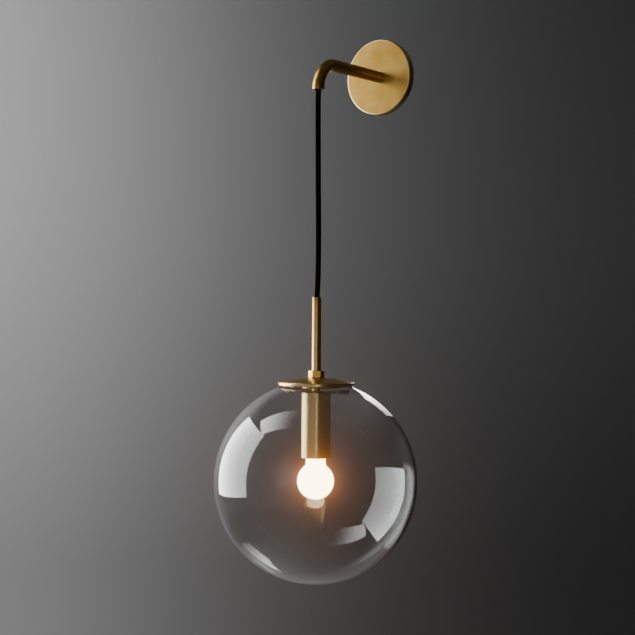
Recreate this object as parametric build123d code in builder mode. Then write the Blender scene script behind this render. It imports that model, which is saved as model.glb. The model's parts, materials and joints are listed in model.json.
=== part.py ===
"""Globe wall sconce: a round brass backplate, a brass arm with an elbow, and a clear glass
globe that hangs from the arm on a black fabric cord.

Millimetres. The origin is the middle of the wall bracket on the wall plane, +Z is up and
the sconce stands out of the wall towards -Y. The pendant hangs on the line x = 0,
y = -arm_reach.
"""

import os
from math import cos, radians, sin, sqrt

from build123d import *

# ---------------------------------------------------------------- driving dimensions

# Backplate, a shallow spun cup that covers the wall bracket
plate_diameter = 98.0
plate_depth = 10.0
plate_wall = 1.5
plate_edge_radius = 2.0

# Wall bracket, a steel strap with an ear at each end
strap_width = 20.0
strap_thickness = 1.5
strap_disc_diameter = 38.0
cable_hole_diameter = 18.0
slot_spacing = 60.0
slot_length = 12.0
slot_width = 4.5
ear_height = 7.6
plate_screw_length = 5.0
plate_screw_inset = 0.2
hex_key = 1.5

# Arm, one bent tube
arm_diameter = 15.0
arm_wall = 1.5
arm_reach = 141.0
arm_drop = 34.4
elbow_radius = 33.0
plug_length = 12.0
plug_stop = 1.5

# M10 hollow rod, nuts and washer behind the backplate
thread_diameter = 10.0
thread_bore = 7.4
rod_grip = 9.0
washer_thickness = 0.8
washer_diameter = 17.0
plate_nut_flats = 14.0
plate_nut_height = 3.0
rod_end_over_nut = 0.3

# Cord, a three-core cable in a woven sleeve, with a crimped stop at each end
cord_diameter = 6.5
cord_free_length = 255.1
core_diameter = 1.9
core_offset = 1.25
sheath_inset = 1.5
sheath_under_stop = 4.0
stop_diameter = 9.6
stop_length = 8.0
stop_height_over_bush = 1.0
mouth_bush_length = 5.5
mouth_bush_bore = 7.4
mouth_bush_flare = 9.8
mouth_bush_flare_height = 2.0
bend_diameter = 6.0
bend_lip = 0.9
bush_screw_length = 2.6

# Stem with a turned, threaded lower end
stem_diameter = 11.0
stem_length = 90.0
stem_bush_length = 5.0
stem_bush_diameter = 9.2
stem_edge_radius = 0.3
cap_nut_flats = 17.0
cap_nut_height = 8.2
cap_nut_chamfer = 0.8
cap_nut_turn = 36.3
thin_nut_chamfer = 0.4

# Cap over the glass, a shallow spun dome with a short rim
cap_diameter = 94.0
cap_wall = 1.5
cap_rise = 6.0
cap_rim_height = 3.5
cap_seat_diameter = 21.0
cap_edge_radius = 0.9
gasket_width = 3.7

# Blown glass globe with a short neck
globe_diameter = 250.0
glass_wall = 2.5
neck_diameter = 89.0
neck_length = 2.8
neck_top_in_cap = 1.2
neck_fillet = 2.4

# Crossbar that holds the globe up by the inside of its shoulder
bar_length = 92.0
bar_width = 14.0
bar_thickness = 2.0
pad_wall = 1.5
pad_end_wall = 1.2
pad_length = 12.0
pad_edge_radius = 0.6

# Lampholder sleeve
sleeve_diameter = 36.0
sleeve_length = 80.0
sleeve_wall = 1.2
sleeve_top_thickness = 2.0
sleeve_edge_radius = 0.6
sleeve_nut_flats = 15.0
sleeve_nut_height = 3.5
rod_end_under_nut = 2.0

# Lampholder bracket and screw lampholder for a 27 mm lamp cap
yoke_thickness = 1.5
yoke_width = 12.0
yoke_span = 25.0
yoke_bend_radius = 1.35
foot_length = 8.0
foot_screw_spacing = 14.8
holder_diameter = 32.4
holder_length = 36.0
holder_recess = 2.5
holder_base = 8.0
holder_bore = 28.4
shell_inner_diameter = 26.7
shell_wall = 0.4
shell_length = 25.0
shell_eye = 12.0
tongue_thickness = 0.6
tongue_width = 6.0
tongue_fold = 3.9
tongue_tip_length = 4.0
busbar_width = 5.0
terminal_size = 6.0
terminal_height = 7.0
terminal_offset = 8.5
terminal_bore = 2.4
terminal_floor = 2.0
terminal_screw_diameter = 2.5
rivet_diameter = 3.0
small_screw_diameter = 3.0
small_head_diameter = 5.5
small_head_height = 1.8
holder_screw_depth = 6.0
holder_edge_radius = 0.8

# Golf-ball lamp
bulb_diameter = 44.8
bulb_projection = 51.0
bulb_length = 76.0
bulb_neck_diameter = 24.0
bulb_neck_in_cap = 6.0
bulb_shoulder_angle = 50.0
bulb_wall = 0.8
lamp_cap_diameter = 26.2
lamp_cap_length = 20.0
lamp_cap_wall = 0.5
lamp_cap_cone_height = 3.0
lamp_cap_eye_diameter = 21.0
lamp_contact_diameter = 9.0
lamp_contact_thickness = 0.9
insulator_height = 2.2
filament_count = 4
filament_length = 26.0
filament_diameter = 1.8
filament_circle = 11.0
mount_diameter = 6.0
mount_rod_diameter = 2.0
mount_overlap = 1.5
support_wire_diameter = 0.8

# Earth terminal on the wall bracket
earth_screw_diameter = 4.0
earth_head_diameter = 7.0
earth_head_height = 2.2
screw_slot_width = 0.8
screw_slot_depth = 1.1
earth_offset = 14.2
tag_thickness = 0.8
tag_ring_width = 1.9
tag_barrel_length = 4.0
tag_barrel_wall = 0.45
tag_neck = 1.0
ferrule_collar_length = 5.0
ferrule_tip_length = 6.0

# Leads: where each core lies in the cord, and how its free end is laid
live_angle_at_plate = 120.0
neutral_angle_at_plate = 240.0
earth_angle_at_plate = 0.0
live_angle_at_holder = 90.0
neutral_angle_at_holder = 330.0
earth_angle_at_holder = 210.0
lead_bend = 2.0
lead_turn = 6.0
lead_corner_x = 24.0
lead_corner_z = 8.0
lead_end_x = 32.0
lead_end_z = 24.0
lead_straight = 4.0
lead_arch = 2.7

# Clearances
thread_gap = 0.05
hole_gap = 0.1
running_gap = 0.3
cord_gap = 0.05
elbow_gap = 0.3
contact_gap = 0.05
pad_gap = 0.3

# ---------------------------------------------------------------- places along the stack

plate_radius = plate_diameter / 2
plate_inside = plate_depth - plate_wall
thread_radius = thread_diameter / 2
small_screw_radius = small_screw_diameter / 2
cord_radius = cord_diameter / 2
core_radius = core_diameter / 2
arm_radius = arm_diameter / 2
arm_bore = arm_radius - arm_wall
mouth_z = -arm_drop
elbow_start = arm_reach - elbow_radius

stem_top = mouth_z - cord_free_length
stem_shoulder = stem_top - stem_length
cap_top = stem_shoulder - cap_nut_height
cap_radius = cap_diameter / 2
cap_rim_top = cap_top - cap_rise
cap_rim_bottom = cap_rim_top - cap_rim_height

neck_radius = neck_diameter / 2
neck_bore = neck_radius - glass_wall
neck_top = cap_rim_bottom + neck_top_in_cap
globe_radius = globe_diameter / 2
globe_bore = globe_radius - glass_wall
shoulder_z = neck_top - neck_length
globe_z = shoulder_z - sqrt(globe_radius**2 - neck_radius**2)

pad_reach = bar_length / 2 + pad_end_wall
pad_top = globe_z + sqrt(globe_bore**2 - pad_reach**2) - pad_gap
bar_top = pad_top - pad_wall
bar_bottom = bar_top - bar_thickness

sleeve_top = bar_bottom
sleeve_bottom = sleeve_top - sleeve_length
sleeve_radius = sleeve_diameter / 2
sleeve_bore = sleeve_radius - sleeve_wall
yoke_top = sleeve_top - sleeve_top_thickness
sleeve_nut_top = yoke_top - yoke_thickness
sleeve_nut_bottom = sleeve_nut_top - sleeve_nut_height
rod_end = sleeve_nut_bottom - rod_end_under_nut

holder_radius = holder_diameter / 2
holder_bottom = sleeve_bottom + holder_recess
holder_top = holder_bottom + holder_length
holder_ceiling = holder_top - holder_base
shell_bottom = holder_ceiling - shell_length

bulb_bottom = sleeve_bottom - bulb_projection
bulb_top = bulb_bottom + bulb_length
lamp_cap_top = bulb_top - insulator_height
lamp_cap_bottom = lamp_cap_top - lamp_cap_length
bulb_radius = bulb_diameter / 2

stop_top = rod_end - contact_gap
stop_bottom = stop_top - stop_length
sheath_end = stop_bottom - sheath_under_stop

# ---------------------------------------------------------------- planes and axes

pendant_axis = Axis((0, -arm_reach, 0), (0, 0, 1))
pendant_section = Plane.XZ.offset(arm_reach)


def pendant_level(height):
    """The level plane at this height, centred on the pendant's axis."""
    return Plane((0, -arm_reach, height))


def wall_plane(depth):
    """The plane parallel to the wall at this depth, seen from the room: x right, z up."""
    return Plane((0, -depth, 0), x_dir=(1, 0, 0), z_dir=(0, -1, 0))


def turn_about_pendant(*outline, mode=Mode.ADD):
    """Turn an outline of (radius, height) points about the pendant's axis."""
    with BuildSketch(pendant_section) as section:
        with BuildLine():
            Polyline(*outline, close=True)
        make_face()
    revolve(section.sketch, axis=pendant_axis, mode=mode)


def ring_on_pendant(outer, inner, top, bottom, mode=Mode.ADD):
    """A plain turned ring or tube, given by its radii and its end heights."""
    turn_about_pendant((inner, bottom), (outer, bottom), (outer, top), (inner, top), mode=mode)


def hex_nut(plane, flats, height, bore, bevel):
    """A hexagon nut that stands on a plane, with the corners of both ends turned off."""
    corner = flats / sqrt(3)
    with BuildSketch(plane) as hexagon:
        RegularPolygon(flats / 2, 6, major_radius=False)
    extrude(hexagon.sketch, amount=height)
    with BuildSketch(Plane(plane.origin, x_dir=plane.x_dir, z_dir=-plane.y_dir)) as turned:
        with BuildLine():
            Polyline(
                (bore, 0),
                (flats / 2, 0),
                (corner, bevel),
                (corner, height - bevel),
                (flats / 2, height),
                (bore, height),
                close=True,
            )
        make_face()
    revolve(turned.sketch, axis=Axis(plane.origin, plane.z_dir), mode=Mode.INTERSECT)


def bent_wire(radius, bends, *points):
    """A round wire along straight runs that are joined by arcs of these radii."""
    with BuildLine() as route:
        FilletPolyline(*points, radius=bends)
    with BuildSketch(Plane(origin=route.line @ 0, z_dir=route.line % 0)) as section:
        Circle(radius)
    sweep(section.sketch, path=route.line)


def round_bar(plane, radius, length, mode=Mode.ADD):
    """A round bar that starts on a plane, or the hole that such a bar leaves."""
    with BuildSketch(plane) as section:
        Circle(radius)
    extrude(section.sketch, amount=length, mode=mode)


def crimp_tag(plane, screw_radius):
    """A ring tag that lies on a plane, with its barrel along the plane's x direction."""
    ring = screw_radius + hole_gap + tag_ring_width
    barrel = core_radius + cord_gap + tag_barrel_wall
    with BuildSketch(plane) as blade:
        Circle(ring)
        with Locations(((ring + tag_neck) / 2, 0)):
            Rectangle(ring + tag_neck, 2 * barrel)
    extrude(blade.sketch, amount=tag_thickness)
    barrel_plane = Plane(
        plane.origin + plane.x_dir * (ring + tag_neck) + plane.z_dir * barrel,
        x_dir=plane.y_dir,
        z_dir=plane.x_dir,
    )
    round_bar(barrel_plane, barrel, tag_barrel_length)
    round_bar(barrel_plane, core_radius + cord_gap, tag_barrel_length, mode=Mode.SUBTRACT)
    round_bar(plane, screw_radius + hole_gap, tag_thickness, mode=Mode.SUBTRACT)


def tube_on_rod(outer, inner, back, front):
    """A plain tube round the arm's axis, between two depths off the wall."""
    with BuildSketch(wall_plane(back)) as section:
        Circle(outer)
        Circle(inner, mode=Mode.SUBTRACT)
    extrude(section.sketch, amount=front - back)


# ---------------------------------------------------------------- wall bracket

ear_face = sqrt((plate_radius - plate_wall) ** 2 - (strap_width / 2) ** 2) - running_gap
plate_screw_depth = (strap_thickness + ear_height) / 2

with BuildPart() as wall_bracket:
    with BuildSketch(wall_plane(0)):
        Rectangle(strap_width, 2 * ear_face)
        Circle(strap_disc_diameter / 2)
        Circle(cable_hole_diameter / 2, mode=Mode.SUBTRACT)
        with Locations((0, slot_spacing / 2), (0, -slot_spacing / 2)):
            SlotOverall(slot_length, slot_width, rotation=90, mode=Mode.SUBTRACT)
        with Locations((earth_offset, 0)):
            Circle(earth_screw_diameter / 2 + thread_gap, mode=Mode.SUBTRACT)
    extrude(amount=strap_thickness)
    ear_middle = ear_face - strap_thickness / 2
    with BuildSketch(wall_plane(0)):
        with Locations((0, ear_middle), (0, -ear_middle)):
            Rectangle(strap_width, strap_thickness)
    extrude(amount=ear_height)
    folds = wall_bracket.edges().filter_by(Axis.X).group_by(Axis.Y)[-1]
    fillet(folds.group_by(Axis.Z)[0] + folds.group_by(Axis.Z)[-1], strap_thickness)
    with BuildSketch(Plane((0, -plate_screw_depth, 0))):
        Circle(small_screw_radius + thread_gap)
    extrude(amount=2 * ear_face, both=True, mode=Mode.SUBTRACT)

# ---------------------------------------------------------------- backplate

rod_hole = thread_radius + hole_gap
with BuildPart() as backplate:
    with BuildSketch(Plane.XY) as cup_section:
        with BuildLine():
            Polyline(
                (rod_hole, -plate_depth),
                (plate_radius, -plate_depth),
                (plate_radius, 0),
                (plate_radius - plate_wall, 0),
                (plate_radius - plate_wall, -plate_inside),
                (rod_hole, -plate_inside),
                close=True,
            )
        make_face()
        outer_corner = cup_section.vertices().sort_by_distance((plate_radius, -plate_depth))[0]
        fillet(outer_corner, plate_edge_radius)
        inner_corner = cup_section.vertices().sort_by_distance(
            (plate_radius - plate_wall, -plate_inside)
        )[0]
        fillet(inner_corner, plate_edge_radius - plate_wall)
    revolve(axis=Axis.Y)
    with BuildSketch(Plane((0, -plate_screw_depth, 0))):
        Circle(small_screw_radius + hole_gap)
    extrude(amount=plate_diameter, both=True, mode=Mode.SUBTRACT)

with BuildPart() as plate_screws:
    screw_top = plate_radius - plate_screw_inset
    for side in (1, -1):
        screw_plane = Plane(
            (0, -plate_screw_depth, side * screw_top), x_dir=(1, 0, 0), z_dir=(0, 0, -side)
        )
        with BuildSketch(screw_plane):
            Circle(small_screw_radius)
        extrude(amount=plate_screw_length)
        with BuildSketch(screw_plane):
            RegularPolygon(hex_key / 2, 6, major_radius=False)
        extrude(amount=hex_key, mode=Mode.SUBTRACT)

# ---------------------------------------------------------------- arm

bush_radius = arm_bore - elbow_gap
bush_screw_z = mouth_z + mouth_bush_length / 2

with BuildPart() as arm_tube:
    with BuildLine() as arm_line:
        FilletPolyline(
            (0, -plate_depth, 0),
            (0, -arm_reach, 0),
            (0, -arm_reach, mouth_z),
            radius=elbow_radius,
        )
    with BuildSketch(wall_plane(plate_depth)):
        Circle(arm_radius)
    sweep(path=arm_line.line)
    with BuildSketch(wall_plane(plate_depth)) as arm_bore_section:
        Circle(arm_bore)
    sweep(arm_bore_section.sketch, path=arm_line.line, mode=Mode.SUBTRACT)
    with BuildSketch(Plane((0, -arm_reach, bush_screw_z), z_dir=(0, 1, 0))):
        Circle(small_screw_radius + hole_gap)
    extrude(amount=arm_diameter, mode=Mode.SUBTRACT)

with BuildPart() as arm_plug:
    plug_radius = arm_bore - thread_gap
    plug_end = plate_depth + plug_length
    tube_on_rod(plug_radius, thread_radius + thread_gap, plate_depth, plug_end)
    tube_on_rod(plug_radius, thread_bore / 2, plug_end, plug_end + plug_stop)

nut_back = plate_inside - washer_thickness - plate_nut_height
rod_back = nut_back - rod_end_over_nut
with BuildPart() as arm_rod:
    tube_on_rod(thread_radius, thread_bore / 2, rod_back, plate_depth + rod_grip)

with BuildPart() as arm_washer:
    tube_on_rod(washer_diameter / 2, rod_hole, plate_inside - washer_thickness, plate_inside)

nut_bore = thread_radius + thread_gap
with BuildPart() as arm_nut:
    hex_nut(wall_plane(nut_back), plate_nut_flats, plate_nut_height, nut_bore, thin_nut_chamfer)

with BuildPart() as mouth_bush:
    bush_bore = mouth_bush_bore / 2
    turn_about_pendant(
        (mouth_bush_flare / 2, mouth_z),
        (bush_radius, mouth_z),
        (bush_radius, mouth_z + mouth_bush_length),
        (bush_bore, mouth_z + mouth_bush_length),
        (bush_bore, mouth_z + mouth_bush_flare_height),
    )
    with BuildSketch(Plane((0, -arm_reach, bush_screw_z), z_dir=(0, 1, 0))):
        Circle(small_screw_radius + thread_gap)
    extrude(amount=arm_diameter, mode=Mode.SUBTRACT)

with BuildPart() as mouth_bush_screw:
    screw_end = Plane((0, -arm_reach + arm_radius, bush_screw_z), z_dir=(0, -1, 0))
    with BuildSketch(screw_end):
        Circle(small_screw_radius)
    extrude(amount=bush_screw_length)
    with BuildSketch(screw_end):
        RegularPolygon(hex_key / 2, 6, major_radius=False)
    extrude(amount=hex_key, mode=Mode.SUBTRACT)

# ---------------------------------------------------------------- cord inside the arm

sheath_start = plug_end + plug_stop + sheath_inset
bend_radius = bend_diameter / 2

with BuildPart() as arm_cord:
    with BuildLine() as arm_cord_line:
        FilletPolyline(
            (0, -sheath_start, 0),
            (0, -arm_reach, 0),
            (0, -arm_reach, mouth_z),
            radius=elbow_radius,
        )
    with BuildSketch(wall_plane(sheath_start)):
        Circle(cord_radius)
    sweep(path=arm_cord_line.line)
    ring_on_pendant(
        arm_radius, 0, mouth_z + bend_radius + running_gap, mouth_z - bend_radius, mode=Mode.SUBTRACT
    )


def elbow_point(length_from_mouth):
    """The point on the arm's centre line this far along it from the mouth, in the elbow."""
    turn = (length_from_mouth - (arm_drop - elbow_radius)) / elbow_radius
    return (0, -elbow_start - elbow_radius * cos(turn), -elbow_radius + elbow_radius * sin(turn))


with BuildPart() as arm_cord_stop:
    stop_start = mouth_bush_length + stop_height_over_bush
    with BuildLine() as stop_line:
        ThreePointArc(
            elbow_point(stop_start),
            elbow_point(stop_start + stop_length / 2),
            elbow_point(stop_start + stop_length),
        )
    stop_plane = Plane(origin=stop_line.line @ 0, z_dir=stop_line.line % 0)
    with BuildSketch(stop_plane):
        Circle(stop_diameter / 2)
    sweep(path=stop_line.line)
    with BuildSketch(stop_plane) as stop_bore:
        Circle(cord_radius + cord_gap)
    sweep(stop_bore.sketch, path=stop_line.line, mode=Mode.SUBTRACT)

# ---------------------------------------------------------------- leads behind the plate

barrel_radius = core_radius + cord_gap + tag_barrel_wall
core_depth = strap_thickness + barrel_radius


def core_at(angle):
    """Where a core lies in the cord's section, across the cord's axis."""
    return core_offset * cos(radians(angle)), core_offset * sin(radians(angle))


def plate_lead(angle, *ends):
    """A core that leaves the arm's rod and turns flat behind the backplate."""
    x, z = core_at(angle)
    route = [(x, -sheath_start, z), (x, -core_depth, z)]
    route += [(end_x, -core_depth, end_z) for end_x, end_z in ends]
    radii = [lead_bend] + [lead_turn] * (len(ends) - 1)
    bent_wire(core_radius, radii, *route)


live_corner, live_end = (-lead_corner_x, lead_corner_z), (-lead_end_x, lead_end_z)
neutral_corner, neutral_end = (-lead_corner_x, -lead_corner_z), (-lead_end_x, -lead_end_z)

with BuildPart() as lead_live:
    plate_lead(live_angle_at_plate, live_corner, live_end)

with BuildPart() as lead_neutral:
    plate_lead(neutral_angle_at_plate, neutral_corner, neutral_end)

with BuildPart() as lead_earth:
    tag_ring = earth_screw_diameter / 2 + hole_gap + tag_ring_width
    earth_end = earth_offset - tag_ring - tag_neck - cord_gap
    plate_lead(earth_angle_at_plate, (earth_end, 0))

with BuildPart() as lead_ferrules:
    for corner, end in ((live_corner, live_end), (neutral_corner, neutral_end)):
        run = Vector(end[0] - corner[0], 0, end[1] - corner[1]).normalized()
        tip = Vector(end[0], -core_depth, end[1])
        collar_plane = Plane(tip - run * ferrule_collar_length, z_dir=run)
        with BuildSketch(collar_plane):
            Circle(barrel_radius)
        extrude(amount=ferrule_collar_length)
        with BuildSketch(collar_plane):
            Circle(core_radius + cord_gap)
        extrude(amount=ferrule_collar_length, mode=Mode.SUBTRACT)
        with BuildSketch(Plane(tip, z_dir=run)):
            Circle(barrel_radius)
        extrude(amount=tag_thickness)
        with BuildSketch(Plane(tip, z_dir=run)):
            Circle(core_radius)
        extrude(amount=ferrule_tip_length)

with BuildPart() as earth_tag:
    tag_plane = Plane((earth_offset, -strap_thickness, 0), x_dir=(-1, 0, 0), z_dir=(0, -1, 0))
    crimp_tag(tag_plane, earth_screw_diameter / 2)

with BuildPart() as earth_screw:
    head_back = strap_thickness + tag_thickness
    with BuildSketch(Plane((earth_offset, -hole_gap, 0), x_dir=(1, 0, 0), z_dir=(0, -1, 0))):
        Circle(earth_screw_diameter / 2)
    extrude(amount=head_back)
    head_plane = Plane((earth_offset, -head_back, 0), x_dir=(1, 0, 0), z_dir=(0, -1, 0))
    with BuildSketch(head_plane):
        Circle(earth_head_diameter / 2)
    extrude(amount=earth_head_height)
    head_rim = earth_screw.edges().filter_by(GeomType.CIRCLE).group_by(Axis.Y)[0]
    fillet(head_rim, earth_head_height / 3)
    slot_plane = head_plane.offset(earth_head_height)
    with BuildSketch(slot_plane):
        Rectangle(earth_head_diameter, screw_slot_width)
    extrude(amount=-screw_slot_depth, mode=Mode.SUBTRACT)

# ---------------------------------------------------------------- hanging cord

with BuildPart() as cord_bend:
    with BuildSketch(pendant_section):
        with BuildLine():
            CenterArc((0, mouth_z), bend_radius, -90, 180)
            Line((0, mouth_z - bend_radius), (0, mouth_z + bend_radius))
        make_face()
    revolve(axis=pendant_axis)

with BuildPart() as hanging_cord:
    ring_on_pendant(cord_radius, 0, mouth_z - bend_lip, stem_top)
    with BuildSketch(pendant_section) as socket:
        with BuildLine():
            CenterArc((0, mouth_z), bend_radius + cord_gap, -90, 180)
            Line(
                (0, mouth_z - bend_radius - cord_gap),
                (0, mouth_z + bend_radius + cord_gap),
            )
        make_face()
    revolve(socket.sketch, axis=pendant_axis, mode=Mode.SUBTRACT)

# ---------------------------------------------------------------- stem

stem_radius = stem_diameter / 2
stem_bush_radius = stem_bush_diameter / 2

with BuildPart() as stem:
    turn_about_pendant(
        (thread_bore / 2, rod_end),
        (thread_radius, rod_end),
        (thread_radius, stem_shoulder),
        (stem_radius, stem_shoulder),
        (stem_radius, stem_top),
        (stem_bush_radius + thread_gap, stem_top),
        (stem_bush_radius + thread_gap, stem_top - stem_bush_length),
        (thread_bore / 2, stem_top - stem_bush_length),
    )
    top_rim = stem.edges().filter_by(GeomType.CIRCLE).group_by(Axis.Z)[-1].sort_by(SortBy.LENGTH)[-1]
    fillet(top_rim, stem_edge_radius)

with BuildPart() as stem_bush:
    ring_on_pendant(
        stem_bush_radius, cord_radius + cord_gap, stem_top, stem_top - stem_bush_length
    )

with BuildPart() as stem_cord:
    ring_on_pendant(cord_radius, 0, stem_top - cord_gap, sheath_end)

with BuildPart() as stem_cord_stop:
    ring_on_pendant(stop_diameter / 2, cord_radius + cord_gap, stop_top, stop_bottom)

with BuildPart() as cap_nut:
    nut_plane = Plane((0, -arm_reach, cap_top)).rotated((0, 0, cap_nut_turn))
    hex_nut(nut_plane, cap_nut_flats, cap_nut_height, nut_bore, cap_nut_chamfer)

# ---------------------------------------------------------------- cap and gasket

seat_radius = cap_seat_diameter / 2
dome_depth = (cap_radius**2 - seat_radius**2 - cap_rise**2) / (2 * cap_rise)
dome_radius = sqrt(dome_depth**2 + cap_radius**2)
dome_z = cap_rim_top - dome_depth


def dome_point(radius, inset=0.0):
    """The point on the cap's dome at this radius, or on a shell inside it."""
    return radius, dome_z + sqrt((dome_radius - inset) ** 2 - radius**2)


with BuildPart() as glass_cap:
    with BuildSketch(pendant_section) as cap_section:
        with BuildLine():
            rim_inside = cap_radius - cap_wall
            middle = (seat_radius + cap_radius) / 2
            Polyline((rod_hole, cap_top - cap_wall), (rod_hole, cap_top), (seat_radius, cap_top))
            ThreePointArc((seat_radius, cap_top), dome_point(middle), (cap_radius, cap_rim_top))
            Polyline(
                (cap_radius, cap_rim_top),
                (cap_radius, cap_rim_bottom),
                (rim_inside, cap_rim_bottom),
                dome_point(rim_inside, cap_wall),
            )
            ThreePointArc(
                dome_point(rim_inside, cap_wall),
                dome_point(middle, cap_wall),
                dome_point(seat_radius, cap_wall),
            )
            Line(dome_point(seat_radius, cap_wall), (rod_hole, cap_top - cap_wall))
        make_face()
        rim_corner = cap_section.vertices().sort_by_distance((cap_radius, cap_rim_top))[0]
        fillet(rim_corner, cap_edge_radius)
    revolve(axis=pendant_axis)

with BuildPart() as cap_gasket:
    gasket_middle = (neck_radius + neck_bore) / 2
    gasket_inner = gasket_middle - gasket_width / 2
    gasket_outer = gasket_middle + gasket_width / 2
    turn_about_pendant(
        (gasket_inner, neck_top),
        (gasket_outer, neck_top),
        dome_point(gasket_outer, cap_wall + cord_gap),
        dome_point(gasket_inner, cap_wall + cord_gap),
    )

# ---------------------------------------------------------------- glass globe

inner_shoulder_z = globe_z + sqrt(globe_bore**2 - neck_bore**2)

with BuildPart() as glass_globe:
    with BuildSketch(pendant_section) as glass_section:
        with BuildLine():
            ThreePointArc(
                (0, globe_z - globe_radius), (globe_radius, globe_z), (neck_radius, shoulder_z)
            )
            Polyline(
                (neck_radius, shoulder_z),
                (neck_radius, neck_top),
                (neck_bore, neck_top),
                (neck_bore, inner_shoulder_z),
            )
            ThreePointArc(
                (neck_bore, inner_shoulder_z), (globe_bore, globe_z), (0, globe_z - globe_bore)
            )
            Line((0, globe_z - globe_bore), (0, globe_z - globe_radius))
        make_face()
        for corner, radius in (
            ((neck_radius, shoulder_z), neck_fillet),
            ((neck_bore, inner_shoulder_z), neck_fillet / 2),
            ((neck_radius, neck_top), glass_wall / 3),
            ((neck_bore, neck_top), glass_wall / 3),
        ):
            fillet(glass_section.vertices().sort_by_distance(corner)[0], radius)
    revolve(axis=pendant_axis)

# ---------------------------------------------------------------- crossbar and its pads

with BuildPart() as crossbar:
    with BuildSketch(pendant_level(bar_bottom)):
        SlotOverall(bar_length, bar_width)
        Circle(rod_hole, mode=Mode.SUBTRACT)
    extrude(amount=bar_thickness)

with BuildPart() as bar_pads:
    with BuildSketch(pendant_level(bar_bottom - pad_wall)):
        SlotOverall(2 * pad_reach, bar_width + 2 * pad_end_wall)
        Rectangle(2 * (pad_reach - pad_length), 2 * bar_width, mode=Mode.SUBTRACT)
    extrude(amount=bar_thickness + 2 * pad_wall)
    fillet(bar_pads.edges().filter_by(Plane.XY), pad_edge_radius)
    with BuildSketch(pendant_level(bar_bottom - cord_gap)):
        SlotOverall(bar_length + 2 * cord_gap, bar_width + 2 * cord_gap)
    extrude(amount=bar_thickness + 2 * cord_gap, mode=Mode.SUBTRACT)

# ---------------------------------------------------------------- sleeve and its nut

with BuildPart() as sleeve:
    turn_about_pendant(
        (rod_hole, sleeve_top),
        (sleeve_radius, sleeve_top),
        (sleeve_radius, sleeve_bottom),
        (sleeve_bore, sleeve_bottom),
        (sleeve_bore, yoke_top),
        (rod_hole, yoke_top),
    )
    outer_rims = sleeve.edges().filter_by(GeomType.CIRCLE).sort_by(SortBy.LENGTH)[-2:]
    fillet(outer_rims.sort_by(Axis.Z)[-1], sleeve_edge_radius)
    fillet(sleeve.edges().filter_by(GeomType.CIRCLE).group_by(Axis.Z)[0], sleeve_wall / 3)

with BuildPart() as sleeve_nut:
    nut_plane = pendant_level(sleeve_nut_bottom)
    hex_nut(nut_plane, sleeve_nut_flats, sleeve_nut_height, nut_bore, thin_nut_chamfer)

# ---------------------------------------------------------------- lampholder and its bracket

foot_top = holder_top + yoke_thickness
foot_screw_x = foot_screw_spacing / 2

with BuildPart() as holder_yoke:
    with BuildSketch(pendant_section):
        with Locations((0, yoke_top - yoke_thickness / 2)):
            Rectangle(yoke_span, yoke_thickness)
        with Locations(
            (yoke_span / 2 - yoke_thickness / 2, (yoke_top + holder_top) / 2),
            (-yoke_span / 2 + yoke_thickness / 2, (yoke_top + holder_top) / 2),
        ):
            Rectangle(yoke_thickness, yoke_top - holder_top)
        with Locations(
            (yoke_span / 2 - foot_length / 2, holder_top + yoke_thickness / 2),
            (-yoke_span / 2 + foot_length / 2, holder_top + yoke_thickness / 2),
        ):
            Rectangle(foot_length, yoke_thickness)
    extrude(amount=yoke_width / 2, both=True)
    bends = holder_yoke.edges().filter_by(Axis.Y)
    outer_bends = bends.group_by(Axis.X)[0] + bends.group_by(Axis.X)[-1]
    fillet(outer_bends, yoke_bend_radius)
    with BuildSketch(pendant_level(sleeve_nut_top)):
        Circle(rod_hole)
    extrude(amount=yoke_thickness, mode=Mode.SUBTRACT)
    with BuildSketch(pendant_level(holder_top)):
        with Locations((foot_screw_x, 0), (-foot_screw_x, 0)):
            Circle(small_screw_radius + hole_gap)
    extrude(amount=yoke_thickness, mode=Mode.SUBTRACT)

with BuildPart() as holder_screws:
    for screw_x, seat in ((foot_screw_x, foot_top + tag_thickness), (-foot_screw_x, foot_top)):
        with BuildSketch(Plane((screw_x, -arm_reach, seat))):
            Circle(small_screw_radius)
        extrude(amount=-(seat - holder_top + holder_screw_depth))
        with BuildSketch(Plane((screw_x, -arm_reach, seat))):
            Circle(small_head_diameter / 2)
        extrude(amount=small_head_height)
    head_rims = holder_screws.faces().filter_by(Plane.XY).sort_by(Axis.Z)[-2:].edges()
    fillet(head_rims, small_head_height / 3)

rivet_radius = rivet_diameter / 2
cavity_radius = holder_bore / 2
with BuildPart() as holder_body:
    ring_on_pendant(holder_radius, 0, holder_top, holder_bottom)
    fillet(holder_body.edges().filter_by(GeomType.CIRCLE), holder_edge_radius)
    ring_on_pendant(cavity_radius, 0, holder_ceiling, sleeve_bottom, mode=Mode.SUBTRACT)
    with BuildSketch(pendant_level(holder_top)):
        with Locations((foot_screw_x, 0), (-foot_screw_x, 0)):
            Circle(small_screw_radius + thread_gap)
    extrude(amount=-holder_screw_depth - hole_gap, mode=Mode.SUBTRACT)
    with BuildSketch(pendant_level(holder_top)):
        with Locations((0, 0), (0, -terminal_offset)):
            Circle(rivet_radius + thread_gap)
    extrude(amount=-holder_base, mode=Mode.SUBTRACT)

shell_inner = shell_inner_diameter / 2
with BuildPart() as holder_shell:
    turn_about_pendant(
        (shell_inner, shell_bottom),
        (shell_inner + shell_wall, shell_bottom),
        (shell_inner + shell_wall, holder_ceiling),
        (shell_eye / 2, holder_ceiling),
        (shell_eye / 2, holder_ceiling - shell_wall),
        (shell_inner, holder_ceiling - shell_wall),
    )
    with BuildSketch(pendant_level(holder_ceiling - shell_wall)):
        with Locations((0, -terminal_offset)):
            Circle(rivet_radius)
    extrude(amount=holder_base + shell_wall)

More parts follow.
